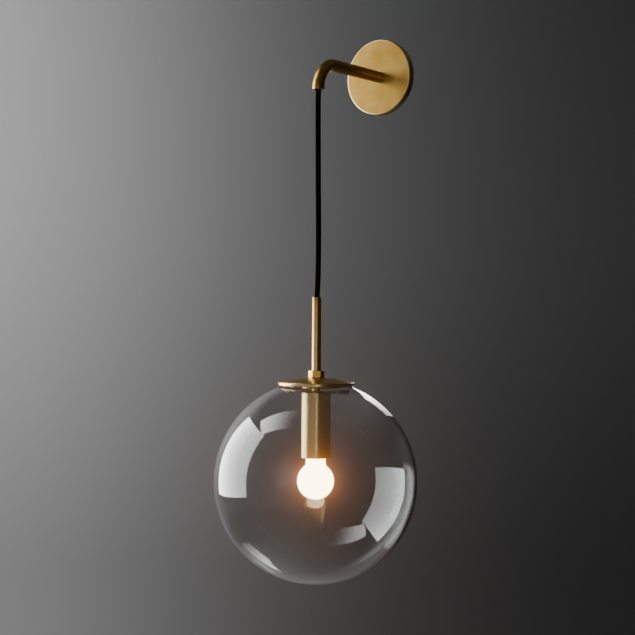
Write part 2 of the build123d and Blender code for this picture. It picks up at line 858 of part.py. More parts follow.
tongue_low = bulb_top + contact_gap
with BuildPart() as holder_contact:
    with BuildSketch(pendant_level(holder_ceiling - tongue_thickness)):
        Circle(rivet_radius)
    extrude(amount=holder_base + tongue_thickness)
    with BuildSketch(pendant_level(holder_top)):
        with Locations((0, (terminal_offset + terminal_size / 2 - tongue_width / 2) / 2)):
            Rectangle(busbar_width, terminal_offset + terminal_size / 2 + tongue_width / 2)
    extrude(amount=tongue_thickness)
    half = tongue_thickness / 2
    with BuildSketch(Plane.YZ) as tongue_section:
        with BuildLine():
            FilletPolyline(
                (-arm_reach - tongue_width / 2, holder_ceiling - half),
                (-arm_reach + tongue_fold, holder_ceiling - half),
                (-arm_reach - tongue_tip_length / 2, tongue_low + half),
                (-arm_reach + tongue_tip_length / 2, tongue_low + half),
                radius=tongue_thickness,
            )
        trace(line_width=tongue_thickness)
    extrude(amount=tongue_width / 2, both=True)

live_base = holder_top + tongue_thickness
with BuildPart() as holder_terminals:
    for side, base in ((1, live_base), (-1, holder_top)):
        block_plane = Plane((0, -arm_reach + side * terminal_offset, base))
        with BuildSketch(block_plane):
            Rectangle(terminal_size, terminal_size)
        extrude(amount=terminal_height)
        with BuildSketch(block_plane.offset(terminal_height)):
            Circle(terminal_bore / 2)
        extrude(amount=terminal_floor - terminal_height, mode=Mode.SUBTRACT)
        screw_plane = Plane(
            (0, -arm_reach + side * terminal_offset, base + terminal_height / 2),
            z_dir=(0, side, 0),
        )
        with BuildSketch(screw_plane):
            Circle(terminal_screw_diameter / 2 + thread_gap)
        extrude(amount=terminal_size, mode=Mode.SUBTRACT)

with BuildPart() as terminal_screws:
    for side, base in ((1, live_base), (-1, holder_top)):
        tip_y = side * (terminal_offset + core_radius + hole_gap)
        screw_plane = Plane(
            (0, -arm_reach + tip_y, base + terminal_height / 2), z_dir=(0, side, 0)
        )
        with BuildSketch(screw_plane):
            Circle(terminal_screw_diameter / 2)
        extrude(amount=terminal_size / 2)

# ---------------------------------------------------------------- leads in the sleeve

lead_level = sheath_end - lead_straight


def holder_lead(angle, *ends):
    """A core that leaves the cord's sheath and runs to points given across the pendant."""
    x, y = core_at(angle)
    route = [(x, -arm_reach + y, sheath_end), (x, -arm_reach + y, lead_level)]
    route += [(end_x, -arm_reach + end_y, end_z) for end_x, end_y, end_z in ends]
    bent_wire(core_radius, lead_bend, *route)


with BuildPart() as holder_lead_live:
    live_top = live_base + terminal_height
    holder_lead(
        live_angle_at_holder,
        (0, terminal_offset, live_top + lead_arch),
        (0, terminal_offset, live_base + terminal_floor + hole_gap),
    )

with BuildPart() as holder_lead_neutral:
    neutral_top = holder_top + terminal_height
    holder_lead(
        neutral_angle_at_holder,
        (0, -terminal_offset, neutral_top + lead_arch),
        (0, -terminal_offset, holder_top + terminal_floor + hole_gap),
    )

holder_tag_ring = small_screw_radius + hole_gap + tag_ring_width
with BuildPart() as holder_lead_earth:
    barrel_z = foot_top + barrel_radius
    barrel_start = foot_screw_x - holder_tag_ring - tag_neck
    loop_x = -foot_screw_x / 2
    holder_lead(
        earth_angle_at_holder,
        (loop_x, 0, neutral_top),
        (loop_x, 0, barrel_z),
        (barrel_start - cord_gap, 0, barrel_z),
    )

with BuildPart() as holder_earth_tag:
    tag_plane = Plane((foot_screw_x, -arm_reach, foot_top), x_dir=(-1, 0, 0), z_dir=(0, 0, 1))
    crimp_tag(tag_plane, small_screw_radius)

# ---------------------------------------------------------------- golf-ball lamp

bulb_z = bulb_bottom + bulb_radius
bulb_neck = bulb_neck_diameter / 2


def bulb_wall_line(inset):
    """The lamp's glass from its bottom up to the top of its neck, inset into the wall."""
    radius, neck = bulb_radius - inset, bulb_neck - inset
    angle = radians(bulb_shoulder_angle)
    shoulder = (radius * cos(angle), bulb_z + radius * sin(angle))
    ThreePointArc((0, bulb_z - radius), (radius, bulb_z), shoulder)
    Spline(
        shoulder,
        (neck, lamp_cap_bottom),
        tangents=((-sin(angle), cos(angle)), (0, 1)),
    )
    Line((neck, lamp_cap_bottom), (neck, lamp_cap_bottom + bulb_neck_in_cap))


with BuildPart() as bulb_glass:
    with BuildSketch(pendant_section):
        with BuildLine():
            bulb_wall_line(0)
            bulb_wall_line(bulb_wall)
            Line((0, bulb_z - bulb_radius), (0, bulb_z - bulb_radius + bulb_wall))
            neck_end = lamp_cap_bottom + bulb_neck_in_cap
            Line((bulb_neck, neck_end), (bulb_neck - bulb_wall, neck_end))
        make_face()
    revolve(axis=pendant_axis)

lamp_cap_radius = lamp_cap_diameter / 2
lamp_cap_eye = lamp_cap_eye_diameter / 2
lamp_cap_cone = lamp_cap_top - lamp_cap_cone_height
with BuildPart() as lamp_cap:
    turn_about_pendant(
        (lamp_cap_radius - lamp_cap_wall, lamp_cap_bottom),
        (lamp_cap_radius, lamp_cap_bottom),
        (lamp_cap_radius, lamp_cap_cone),
        (lamp_cap_eye, lamp_cap_top),
        (lamp_cap_eye - lamp_cap_wall, lamp_cap_top),
        (lamp_cap_radius - lamp_cap_wall, lamp_cap_cone - lamp_cap_wall / 2),
    )

lamp_contact_radius = lamp_contact_diameter / 2
with BuildPart() as lamp_insulator:
    insulator_edge = lamp_cap_eye - lamp_cap_wall - cord_gap
    turn_about_pendant(
        (0, lamp_cap_top - lamp_cap_wall),
        (insulator_edge, lamp_cap_top - lamp_cap_wall),
        (insulator_edge, lamp_cap_top),
        (lamp_contact_radius + lamp_cap_wall, bulb_top - lamp_contact_thickness),
        (0, bulb_top - lamp_contact_thickness),
    )

with BuildPart() as lamp_contact:
    ring_on_pendant(lamp_contact_radius, 0, bulb_top, bulb_top - lamp_contact_thickness)
    contact_rim = lamp_contact.edges().filter_by(GeomType.CIRCLE).sort_by(Axis.Z)[-1]
    fillet(contact_rim, lamp_contact_thickness / 2)

filament_radius = filament_diameter / 2
filament_places = [
    (
        filament_circle / 2 * cos(radians(360 / filament_count * number)),
        filament_circle / 2 * sin(radians(360 / filament_count * number)),
    )
    for number in range(filament_count)
]
spider_levels = (
    bulb_z + filament_length / 2 + support_wire_diameter / 2 + cord_gap,
    bulb_z - filament_length / 2 - support_wire_diameter / 2 - cord_gap,
)

with BuildPart() as lamp_mount:
    mount_radius = mount_diameter / 2
    flare_top = lamp_cap_bottom + bulb_neck_in_cap - bulb_wall
    ring_on_pendant(bulb_neck - bulb_wall - running_gap, 0, flare_top, flare_top - bulb_wall)
    ring_on_pendant(mount_radius, 0, flare_top, spider_levels[0] - mount_overlap)
    ring_on_pendant(mount_rod_diameter / 2, 0, flare_top, spider_levels[1] - mount_overlap)
    for level in spider_levels:
        for x, y in filament_places:
            reach = Vector(x, y, 0)
            with BuildSketch(Plane((0, -arm_reach, level), z_dir=reach)):
                Circle(support_wire_diameter / 2)
            extrude(amount=reach.length + filament_radius)

with BuildPart() as lamp_filaments:
    with BuildSketch(pendant_level(bulb_z - filament_length / 2)):
        with Locations(*filament_places):
            Circle(filament_radius)
    extrude(amount=filament_length)

# ---------------------------------------------------------------- files

pieces = {
    "wall_bracket": wall_bracket,
    "backplate": backplate,
    "plate_screws": plate_screws,
    "arm_tube": arm_tube,
    "arm_plug": arm_plug,
    "arm_rod": arm_rod,
    "arm_washer": arm_washer,
    "arm_nut": arm_nut,
    "mouth_bush": mouth_bush,
    "mouth_bush_screw": mouth_bush_screw,
    "arm_cord": arm_cord,
    "arm_cord_stop": arm_cord_stop,
    "lead_live": lead_live,
    "lead_neutral": lead_neutral,
    "lead_earth": lead_earth,
    "lead_ferrules": lead_ferrules,
    "earth_tag": earth_tag,
    "earth_screw": earth_screw,
    "cord_bend": cord_bend,
    "hanging_cord": hanging_cord,
    "stem": stem,
    "stem_bush": stem_bush,
    "stem_cord": stem_cord,
    "stem_cord_stop": stem_cord_stop,
    "cap_nut": cap_nut,
    "glass_cap": glass_cap,
    "cap_gasket": cap_gasket,
    "glass_globe": glass_globe,
    "crossbar": crossbar,
    "bar_pads": bar_pads,
    "sleeve": sleeve,
    "sleeve_nut": sleeve_nut,
    "holder_yoke": holder_yoke,
    "holder_screws": holder_screws,
    "holder_body": holder_body,
    "holder_shell": holder_shell,
    "holder_contact": holder_contact,
    "holder_terminals": holder_terminals,
    "terminal_screws": terminal_screws,
    "holder_lead_live": holder_lead_live,
    "holder_lead_neutral": holder_lead_neutral,
    "holder_lead_earth": holder_lead_earth,
    "holder_earth_tag": holder_earth_tag,
    "bulb_glass": bulb_glass,
    "lamp_cap": lamp_cap,
    "lamp_insulator": lamp_insulator,
    "lamp_contact": lamp_contact,
    "lamp_mount": lamp_mount,
    "lamp_filaments": lamp_filaments,
}

os.makedirs("parts", exist_ok=True)
for name, piece in pieces.items():
    piece.part.label = name
    export_step(piece.part, f"parts/{name}.step")
    print(name, len(piece.part.solids()), "solid(s)")
print("heights: stem", stem_top, "cap", cap_top, "globe centre", round(globe_z, 2))
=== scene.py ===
# %% [markdown]
# # A globe wall sconce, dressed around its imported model
#
# A round brass plate sits on the wall. A bent brass arm comes out of it, a black fabric cord
# hangs from the arm, and the cord carries a clear glass globe with an opal lamp inside.
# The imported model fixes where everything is. This lesson gives each piece that shows a
# smooth mesh of its own, gives every piece a material, and then lights the whole.
#
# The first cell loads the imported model. Its pieces stay where they are: they are the frame
# that every new piece is measured from, so nothing has to be fitted afterwards.

# %% Load the frame
import json
from math import acos, asin, cos, pi, radians, sin, sqrt

import bmesh
import bpy
from mathutils import Matrix, Vector


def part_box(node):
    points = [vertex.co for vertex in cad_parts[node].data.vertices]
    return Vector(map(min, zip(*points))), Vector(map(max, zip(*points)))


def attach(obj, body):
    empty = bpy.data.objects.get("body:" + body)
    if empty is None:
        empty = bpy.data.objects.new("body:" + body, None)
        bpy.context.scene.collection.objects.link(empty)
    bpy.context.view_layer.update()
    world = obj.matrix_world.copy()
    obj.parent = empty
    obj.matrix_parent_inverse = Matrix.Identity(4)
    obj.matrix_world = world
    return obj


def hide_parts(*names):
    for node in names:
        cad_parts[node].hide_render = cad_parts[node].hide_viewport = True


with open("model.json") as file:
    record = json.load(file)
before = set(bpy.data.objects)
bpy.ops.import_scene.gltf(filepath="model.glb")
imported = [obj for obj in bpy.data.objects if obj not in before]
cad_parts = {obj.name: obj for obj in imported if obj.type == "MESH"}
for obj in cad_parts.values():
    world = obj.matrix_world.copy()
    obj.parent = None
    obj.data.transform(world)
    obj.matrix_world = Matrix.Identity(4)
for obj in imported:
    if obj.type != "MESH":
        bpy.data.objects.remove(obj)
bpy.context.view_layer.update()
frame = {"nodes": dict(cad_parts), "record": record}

MM = 0.001


print("pieces in the frame:", len(frame["nodes"]))

# %% [markdown]
# ## The lines that the pieces share
#
# Almost everything on this lamp is turned, so two lines place nearly all of it: the arm's
# line, which stands straight out of the wall, and the pendant's line, which hangs plumb
# below the arm's mouth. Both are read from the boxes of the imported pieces.

# %% Read the shared lines and heights
def middle(node):
    """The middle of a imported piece's box."""
    low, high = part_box(node)
    return (low + high) / 2


def radius_of(node):
    """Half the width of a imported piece, which is its radius where the piece is round."""
    low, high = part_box(node)
    return (high.x - low.x) / 2


pendant_y = middle("stem").y
mouth_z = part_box("arm_tube")[0].z
mouth = Vector((0, pendant_y, mouth_z))
globe_radius = radius_of("glass_globe")
globe_centre = Vector((0, pendant_y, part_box("glass_globe")[0].z + globe_radius))
print("mouth of the arm:", tuple(round(v, 4) for v in mouth))
print("middle of the globe:", tuple(round(v, 4) for v in globe_centre))

# %% [markdown]
# ## The camera
#
# A product photographer stood to the right of the lamp, level with the middle of the cord,
# and used a long lens from about 1.7 m. The camera is built from that: an angle round the
# lamp, a distance and a lens. A long lens keeps the round plate and the globe free of the
# stretch that a wide lens gives near the edge of a picture.

# %% Put the camera where the photographer stood
camera_turn = radians(36.28)
camera_tilt = radians(0.01)
camera_roll = radians(0.44)
camera_eye = Vector((0.9940, -1.4936, -0.3146))
camera_lens = 77.5
sensor_width = 36.0

looking = Vector((
    -sin(camera_turn) * cos(camera_tilt),
    cos(camera_turn) * cos(camera_tilt),
    sin(camera_tilt),
))
camera_data = bpy.data.cameras.new("product_camera")
camera_data.lens = camera_lens
camera_data.sensor_width = sensor_width
camera = bpy.data.objects.new("product_camera", camera_data)
turned_to = (-looking).to_track_quat("Z", "Y").to_matrix()
camera.matrix_world = (
    Matrix.Translation(camera_eye) @ (turned_to @ Matrix.Rotation(camera_roll, 3, "Z")).to_4x4()
)
bpy.context.scene.collection.objects.link(camera)
bpy.context.scene.camera = camera
print("camera distance from the globe:", round((camera_eye - globe_centre).length, 3))

# %% [markdown]
# ## Making and finishing a piece
#
# Every new mesh goes through the same few steps: merge the points that a full turn leaves
# on top of each other, turn the faces outwards, shade it smooth but keep its sharp edges,
# and say which body it moves with and which imported pieces it stands for. A Weighted
# Normal modifier keeps large flat faces looking flat beside small rounded edges, which a
# plain smooth shade would smear.

# %% Helpers that finish a piece
def close_up(shape, distance=1e-7):
    """Merge the points that lie on top of each other and turn the faces outwards."""
    bmesh.ops.remove_doubles(shape, verts=shape.verts, dist=distance)
    bmesh.ops.recalc_face_normals(shape, faces=shape.faces)


def new_object(name, shape):
    """An object in the scene that takes its mesh from a bmesh."""
    mesh = bpy.data.meshes.new(name)
    shape.to_mesh(mesh)
    shape.free()
    made = bpy.data.objects.new(name, mesh)
    bpy.context.scene.collection.objects.link(made)
    return made


def finish_piece(name, shape, body, slot, *stood_for, sharp=35.0):
    """Make a shaded piece from a bmesh, on a body of the frame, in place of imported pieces."""
    close_up(shape)
    piece = new_object(name, shape)
    piece.data.shade_smooth()
    piece.data.set_sharp_from_angle(angle=radians(sharp))
    even = piece.modifiers.new("even_shading", "WEIGHTED_NORMAL")
    even.keep_sharp = True
    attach(piece, body)
    if stood_for:
        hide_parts(*stood_for)
    print(f"{name}: {len(piece.data.polygons)} faces on {body}")
    return piece

# %% [markdown]
# ## The hanging cord
#
# The cord is a round cable of 6.5 mm in a woven black sleeve. It leaves a nylon bush in the
# arm's mouth and goes into the top of the stem, 255 mm lower, and the globe's weight pulls
# it nearly straight: only a slight bow from the drum that it was wound on is left.
# One smooth NURBS line with a few given points carries that. A mesh tube that
# follows the line, and not a curve's own bevel, lets the woven sleeve be real relief.

# %% Lay the cord's line
cord_radius = 3.25 * MM
to_the_right = Vector((cos(camera_turn), sin(camera_turn), 0))
cord_points = [
    (0, 0),
    (10, -0.3),
    (40, -0.2),
    (85, 0.3),
    (130, 0.8),
    (175, 1.5),
    (215, 1.5),
    (245, 0.9),
    (255.1, 0),
]


def smooth_line(points, steps):
    """Points along a NURBS line through given points, from its first end to its last."""
    data = bpy.data.curves.new("route", "CURVE")
    data.dimensions = "3D"
    data.resolution_u = steps
    spline = data.splines.new("NURBS")
    spline.points.add(len(points) - 1)
    for place, point in zip(spline.points, points):
        place.co = (*point, 1)
    spline.use_endpoint_u = True
    spline.order_u = 3
    route = bpy.data.objects.new("route", data)
    line = bpy.data.meshes.new_from_object(route)
    found = [vertex.co.copy() for vertex in line.vertices]
    bpy.data.objects.remove(route)
    bpy.data.meshes.remove(line)
    return found


cord_line = smooth_line(
    [mouth + to_the_right * bow * MM - Vector((0, 0, drop * MM)) for drop, bow in cord_points], 80
)
line_length = sum((b - a).length for a, b in zip(cord_line, cord_line[1:]))
print("cord line:", len(cord_line), "points,", round(line_length * 1000, 1), "mm")

# %% [markdown]
# The sleeve is braided from sixteen flat bundles of yarn, eight each way round, that pass
# over and under each other. A ring of points is pulled along the line, one small extrude
# after another, and each point is lifted by the bundle that lies on top there. The same
# two numbers, how far round and how far along, also become the UV map, so that the
# material's yarn follows the relief exactly.

# %% Helpers that weave the sleeve
braid_bundles = 8
braid_turn = 16 * MM
braid_relief = 0.16 * MM
cord_sides = 48


def braid_height(around, along):
    """From 0 in a gap to 1 on top of a bundle, at a place round and along the cord."""
    right = braid_bundles * (around + along / braid_turn)
    left = braid_bundles * (around - along / braid_turn)
    over = (int(right // 1) + int(left // 1)) % 2
    crown_right = sin(pi * (right % 1)) ** 0.5
    crown_left = sin(pi * (left % 1)) ** 0.5
    return max(crown_right * (1.0 if over else 0.55), crown_left * (0.55 if over else 1.0))


def cord_tube(line, radius, sides, relief):
    """A tube along a line with the braid's relief and its own UV map."""
    tube = bmesh.new()
    around_layer = tube.verts.layers.float.new("around")
    along_layer = tube.verts.layers.float.new("along")
    ring = bmesh.ops.create_circle(tube, segments=sides, radius=radius)["verts"]
    edges = list(tube.edges)
    for number, vert in enumerate(ring):
        vert[around_layer] = number / sides
    centre, along = Vector((0, 0, 0)), 0.0
    rings = []
    for number, point in enumerate(line):
        if number:
            grown = bmesh.ops.extrude_edge_only(tube, edges=edges)["geom"]
            ring = [item for item in grown if isinstance(item, bmesh.types.BMVert)]
            edges = [item for item in grown if isinstance(item, bmesh.types.BMEdge)]
            along += (point - centre).length
        bmesh.ops.translate(tube, vec=point - centre, verts=ring)
        centre = point
        for vert in ring:
            vert[along_layer] = along
        rings.append((point, ring))
    for point, ring in rings:
        for vert in ring:
            lift = braid_height(vert[around_layer], vert[along_layer]) - 1.0
            vert.co += (vert.co - point).normalized() * relief * lift
    return tube


def braid_uv(tube):
    """Write the distance round and along the cord into a UV map."""
    around_layer = tube.verts.layers.float["around"]
    along_layer = tube.verts.layers.float["along"]
    uv = tube.loops.layers.uv.new("braid")
    for face in tube.faces:
        rounds = [loop.vert[around_layer] for loop in face.loops]
        seam = max(rounds) - min(rounds) > 0.5
        for loop, around in zip(face.loops, rounds):
            if seam and around < 0.5:
                around += 1.0
            turns = loop.vert[along_layer] / braid_turn
            loop[uv].uv = (around * braid_bundles, turns * braid_bundles)

# %% [markdown]
# The braid is shaded smooth all over, without a sharp edge: its relief is made of gentle
# rises, and a yarn has no corners.

# %% Weave the hanging cord
cord_shape = cord_tube(cord_line, cord_radius, cord_sides, braid_relief)
braid_uv(cord_shape)
hanging_cord = finish_piece(
    "cord_braided", cord_shape, "cord", "black_fabric", "hanging_cord", sharp=180.0
)

# %% [markdown]
# ## Turning a piece
#
# A lathe turns a profile: half of the piece's section. Here the profile is a
# few corner points joined by edges. Corners are rounded by a vertex bevel, domes by
# spinning one point about the dome's own centre, and then the whole profile is spun once
# round. That keeps every curve a true arc and needs no list of worked-out points.

# %% Helpers for turned pieces
def new_profile():
    """An empty shape whose points can say how far an edge has been rubbed bright."""
    shape = bmesh.new()
    shape.verts.layers.float.new("rubbed")
    return shape


def profile_line(shape, points, closed=False):
    """Join points, each a radius and a height in millimetres, into a profile."""
    verts = [shape.verts.new((radius * MM, 0, height * MM)) for radius, height in points]
    for start, end in zip(verts, verts[1:]):
        shape.edges.new((start, end))
    if closed:
        shape.edges.new((verts[-1], verts[0]))
    return verts


def round_corner(shape, vert, radius, segments=6):
    """Round one corner of a profile and mark it as rubbed."""
    rounded = bmesh.ops.bevel(
        shape, geom=[vert], offset=radius * MM, segments=segments, profile=0.5,
        affect="VERTICES", material=-1,
    )
    rubbed = shape.verts.layers.float.get("rubbed")
    for corner in rounded["verts"][1:-1]:
        corner[rubbed] = 1.0


def arc_from(shape, vert, centre, angle, steps):
    """Carry a profile on from one of its points along an arc, and return the arc's end."""
    swept = bmesh.ops.spin(
        shape, geom=[vert], cent=(centre[0] * MM, 0, centre[1] * MM), axis=(0, 1, 0),
        dvec=(0, 0, 0), angle=angle, steps=steps, use_duplicate=False,
    )
    return [item for item in swept["geom_last"] if isinstance(item, bmesh.types.BMVert)][0]


def spin_round(shape, steps, place):
    """Spin a profile once about its own axis and put it in place."""
    bmesh.ops.spin(
        shape, geom=shape.verts[:] + shape.edges[:], cent=(0, 0, 0), axis=(0, 0, 1),
        dvec=(0, 0, 0), angle=2 * pi, steps=steps, use_merge=True, use_duplicate=False,
    )
    bmesh.ops.transform(shape, matrix=place, verts=shape.verts)


def turned_piece(name, points, rounds, steps, place, body, slot, node):
    """Turn a piece from a closed profile. Each round is a corner's number, radius and steps."""
    shape = new_profile()
    corners = profile_line(shape, points, closed=True)
    for number, radius, segments in rounds:
        round_corner(shape, corners[number], radius, segments)
    spin_round(shape, steps, place)
    return finish_piece(name, shape, body, slot, node)


on_pendant = Matrix.Translation((0, pendant_y, 0))
on_wall = Matrix.Rotation(pi / 2, 4, "X")

# %% [markdown]
# ## Cutting and drilling
#
# The plate and the arm each have a small threaded hole for a grub screw. A cylinder
# that is cut away and then thrown away is the simplest way to drill a finished wall. The
# same cut, with only the shared part kept, later turns the corners of a nut. A bevel that
# works by angle breaks the edges that are left.

# %% Helpers that cut, drill and break edges
def discard(item):
    """Remove an object that was only a tool, with its mesh."""
    mesh = item.data
    bpy.data.objects.remove(item)
    bpy.data.meshes.remove(mesh)


def cut_with(piece, tool_shape, operation):
    """The mesh that is left of a piece after a cut with another shape."""
    tool = new_object("tool", tool_shape)
    cut = piece.modifiers.new("cut", "BOOLEAN")
    cut.object = tool
    cut.operation = operation
    cut.solver = "EXACT"
    found = piece.evaluated_get(bpy.context.evaluated_depsgraph_get())
    left = bpy.data.meshes.new_from_object(found)
    discard(tool)
    return left


def drill(piece, centre, direction, radius, depth):
    """Cut a round hole through a piece."""
    bit = bmesh.new()
    turn = Vector(direction).to_track_quat("Z", "Y").to_matrix().to_4x4()
    bmesh.ops.create_cone(
        bit, cap_ends=True, segments=32, radius1=radius * MM, radius2=radius * MM,
        depth=depth * MM, matrix=Matrix.Translation(centre) @ turn,
    )
    even = piece.modifiers["even_shading"]
    even.show_viewport = False
    drilled = cut_with(piece, bit, "DIFFERENCE")
    even.show_viewport = True
    for done in [step for step in piece.modifiers if step != even]:
        piece.modifiers.remove(done)
    piece.data = drilled


def break_edges(piece, width, angle):
    """Round every edge that is sharper than an angle in degrees."""
    edge = piece.modifiers.new("edge", "BEVEL")
    edge.width = width * MM
    edge.segments = 3
    edge.limit_method = "ANGLE"
    edge.angle_limit = radians(angle)
    last = len(piece.modifiers) - 1
    piece.modifiers.move(last, last - 1)


grub_hole_radius = 1.6

# %% [markdown]
# ## The backplate
#
# The plate is a shallow cup spun from sheet brass, 98 mm across and 10 mm deep, that hides
# the steel bracket on the wall. Its front edge is rolled over a small radius, and that
# rounded rim is what catches a thin bright line all round in a photograph.

# %% Spin the backplate
plate_radius = radius_of("backplate") / MM
plate_depth = -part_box("backplate")[0].y / MM
plate_wall = 1.5
rod_hole = 5.1
backplate = turned_piece(
    "backplate_spun",
    [
        (rod_hole, plate_depth),
        (plate_radius, plate_depth),
        (plate_radius, 0),
        (plate_radius - plate_wall, 0),
        (plate_radius - plate_wall, plate_depth - plate_wall),
        (rod_hole, plate_depth - plate_wall),
    ],
    [(1, 1.6, 6), (2, 0.25, 2), (4, 0.5, 3)],
    160, on_wall, "wall_side", "aged_brass", "backplate",
)
screw_y = middle("plate_screws").y
for side in (1, -1):
    hole_middle = (0, screw_y, side * (plate_radius - 1) * MM)
    drill(backplate, hole_middle, (0, 0, 1), grub_hole_radius, 8)
print("plate with its two holes:", len(backplate.data.polygons), "faces")

# %% [markdown]
# ## The arm
#
# The arm is one brass tube, 15 mm across, bent through a quarter turn. A ring of points is
# extruded along the straight part, spun about the middle of the bend and extruded again
# down to the mouth. Solidify then gives the tube its 1.5 mm wall, inwards. A small grub
# screw in the side that faces the wall holds the nylon bush in the mouth.

# %% Bend the arm
arm_radius = radius_of("arm_tube") / MM
arm_start = -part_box("arm_tube")[1].y
elbow_radius = 33 * MM
elbow_start = -pendant_y - elbow_radius
arm_shape = bmesh.new()
bmesh.ops.create_circle(
    arm_shape, segments=96, radius=arm_radius * MM,
    matrix=Matrix.Translation((0, -arm_start, 0)) @ Matrix.Rotation(pi / 2, 4, "X"),
)


def pull_ring(shape, edges, step, cuts):
    """Extrude a ring of edges along a step, in even cuts, and return its last edges."""
    for _ in range(cuts):
        grown = bmesh.ops.extrude_edge_only(shape, edges=edges)["geom"]
        edges = [item for item in grown if isinstance(item, bmesh.types.BMEdge)]
        ring = [item for item in grown if isinstance(item, bmesh.types.BMVert)]
        bmesh.ops.translate(shape, vec=step / cuts, verts=ring)
    return edges


straight = Vector((0, arm_start - elbow_start, 0))
ring_edges = pull_ring(arm_shape, list(arm_shape.edges), straight, 12)
bend = bmesh.ops.spin(
    arm_shape, geom=ring_edges + list({v for e in ring_edges for v in e.verts}),
    cent=(0, -elbow_start, -elbow_radius), axis=(1, 0, 0), dvec=(0, 0, 0), angle=pi / 2,
    steps=40, use_duplicate=False,
)
ring_edges = [item for item in bend["geom_last"] if isinstance(item, bmesh.types.BMEdge)]
pull_ring(arm_shape, ring_edges, Vector((0, 0, mouth_z + elbow_radius)), 2)
arm_tube = finish_piece("arm_bent", arm_shape, "wall_side", "aged_brass", "arm_tube")
wall = arm_tube.modifiers.new("wall", "SOLIDIFY")
wall.thickness = 1.5 * MM
wall.offset = -1
arm_tube.modifiers.move(1, 0)
break_edges(arm_tube, 0.3, 60)
drill(arm_tube, middle("mouth_bush_screw"), (0, 1, 0), grub_hole_radius, 4)
print("arm with its wall and its hole:", len(arm_tube.data.polygons), "faces")

# %% [markdown]
# ## The stem
#
# The stem is a turned rod with the cord running up inside. Its top rim is broken by a small
# radius, a nylon bush fills the mouth, and its lower end is turned down to a thread.

# %% Turn the stem
stem_low, stem_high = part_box("stem")
nut_low, nut_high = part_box("cap_nut")
stem_bottom = stem_low.z / MM
stem_shoulder = nut_high.z / MM
stem_top_mm = stem_high.z / MM
stem_bore = 3.7
bush_seat = 4.65
bush_depth = 5.0
stem_outer = 5.5
thread_radius = 5.0
stem = turned_piece(
    "stem_turned",
    [
        (stem_bore, stem_bottom),
        (thread_radius, stem_bottom),
        (thread_radius, stem_shoulder),
        (stem_outer, stem_shoulder),
        (stem_outer, stem_top_mm),
        (bush_seat, stem_top_mm),
        (bush_seat, stem_top_mm - bush_depth),
        (stem_bore, stem_top_mm - bush_depth),
    ],
    [(4, 0.4, 4), (5, 0.15, 2), (3, 0.2, 2)],
    96, on_pendant, "pendant", "aged_brass", "stem",
)

# %% [markdown]
# ## The nut
#
# One hexagon nut, 17 mm across its flats, clamps the cap. It starts from a six-sided
# cylinder. Only what lies inside a turned shape with sloping ends is kept, which leaves
# the rounded arcs that a real nut shows on every face.

# %% Cut the hexagon nut
nut_flats = 17.0
nut_bore = 5.05
nut_bevel = 0.8
nut_turn = radians(-53.7)
nut_corner = nut_flats / sqrt(3)
past_corner = nut_corner + 0.2
nut_half = (nut_high.z - nut_low.z) / 2 / MM
blank_shape = bmesh.new()
bmesh.ops.create_cone(
    blank_shape, cap_ends=True, segments=6, radius1=nut_corner * MM,
    radius2=nut_corner * MM, depth=nut_high.z - nut_low.z,
)
blank = new_object("blank", blank_shape)
turned_shape = new_profile()
profile_line(
    turned_shape,
    [
        (nut_bore, -nut_half),
        (nut_flats / 2, -nut_half),
        (past_corner, -nut_half + nut_bevel),
        (past_corner, nut_half - nut_bevel),
        (nut_flats / 2, nut_half),
        (nut_bore, nut_half),
    ],
    closed=True,
)
spin_round(turned_shape, 96, Matrix.Identity(4))
close_up(turned_shape)
nut_mesh = cut_with(blank, turned_shape, "INTERSECT")
discard(blank)
nut_shape = bmesh.new()
nut_shape.from_mesh(nut_mesh)
bpy.data.meshes.remove(nut_mesh)
nut_place = Matrix.Translation((0, pendant_y, (nut_low.z + nut_high.z) / 2))
bmesh.ops.transform(
    nut_shape, matrix=nut_place @ Matrix.Rotation(nut_turn, 4, "Z"), verts=nut_shape.verts
)
cap_nut = finish_piece(
    "cap_nut_hexagon", nut_shape, "pendant", "aged_brass", "cap_nut", sharp=20.0
)
break_edges(cap_nut, 0.25, 20)

# %% [markdown]
# ## The cap
#
# A shallow dome, spun from brass sheet, closes the globe's neck. It has a flat seat under
# the nut, a long gentle curve and a short upright rim. The dome's arc is swept from one
# point about the dome's own centre, so its highlight runs without a kink.

# %% Spin the cap
cap_low, cap_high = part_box("glass_cap")
cap_radius = radius_of("glass_cap") / MM
cap_top = cap_high.z / MM
cap_bottom = cap_low.z / MM
cap_rise = 6.0
cap_wall = 1.5
seat_radius = 10.5
rim_top = cap_top - cap_rise
dome_depth = (cap_radius**2 - seat_radius**2 - cap_rise**2) / (2 * cap_rise)
dome_radius = sqrt(dome_depth**2 + cap_radius**2)
dome_centre = rim_top - dome_depth


def lean(radius, size):
    """How far a point at this radius on a dome of this size leans from the dome's top."""
    return asin(radius / size)


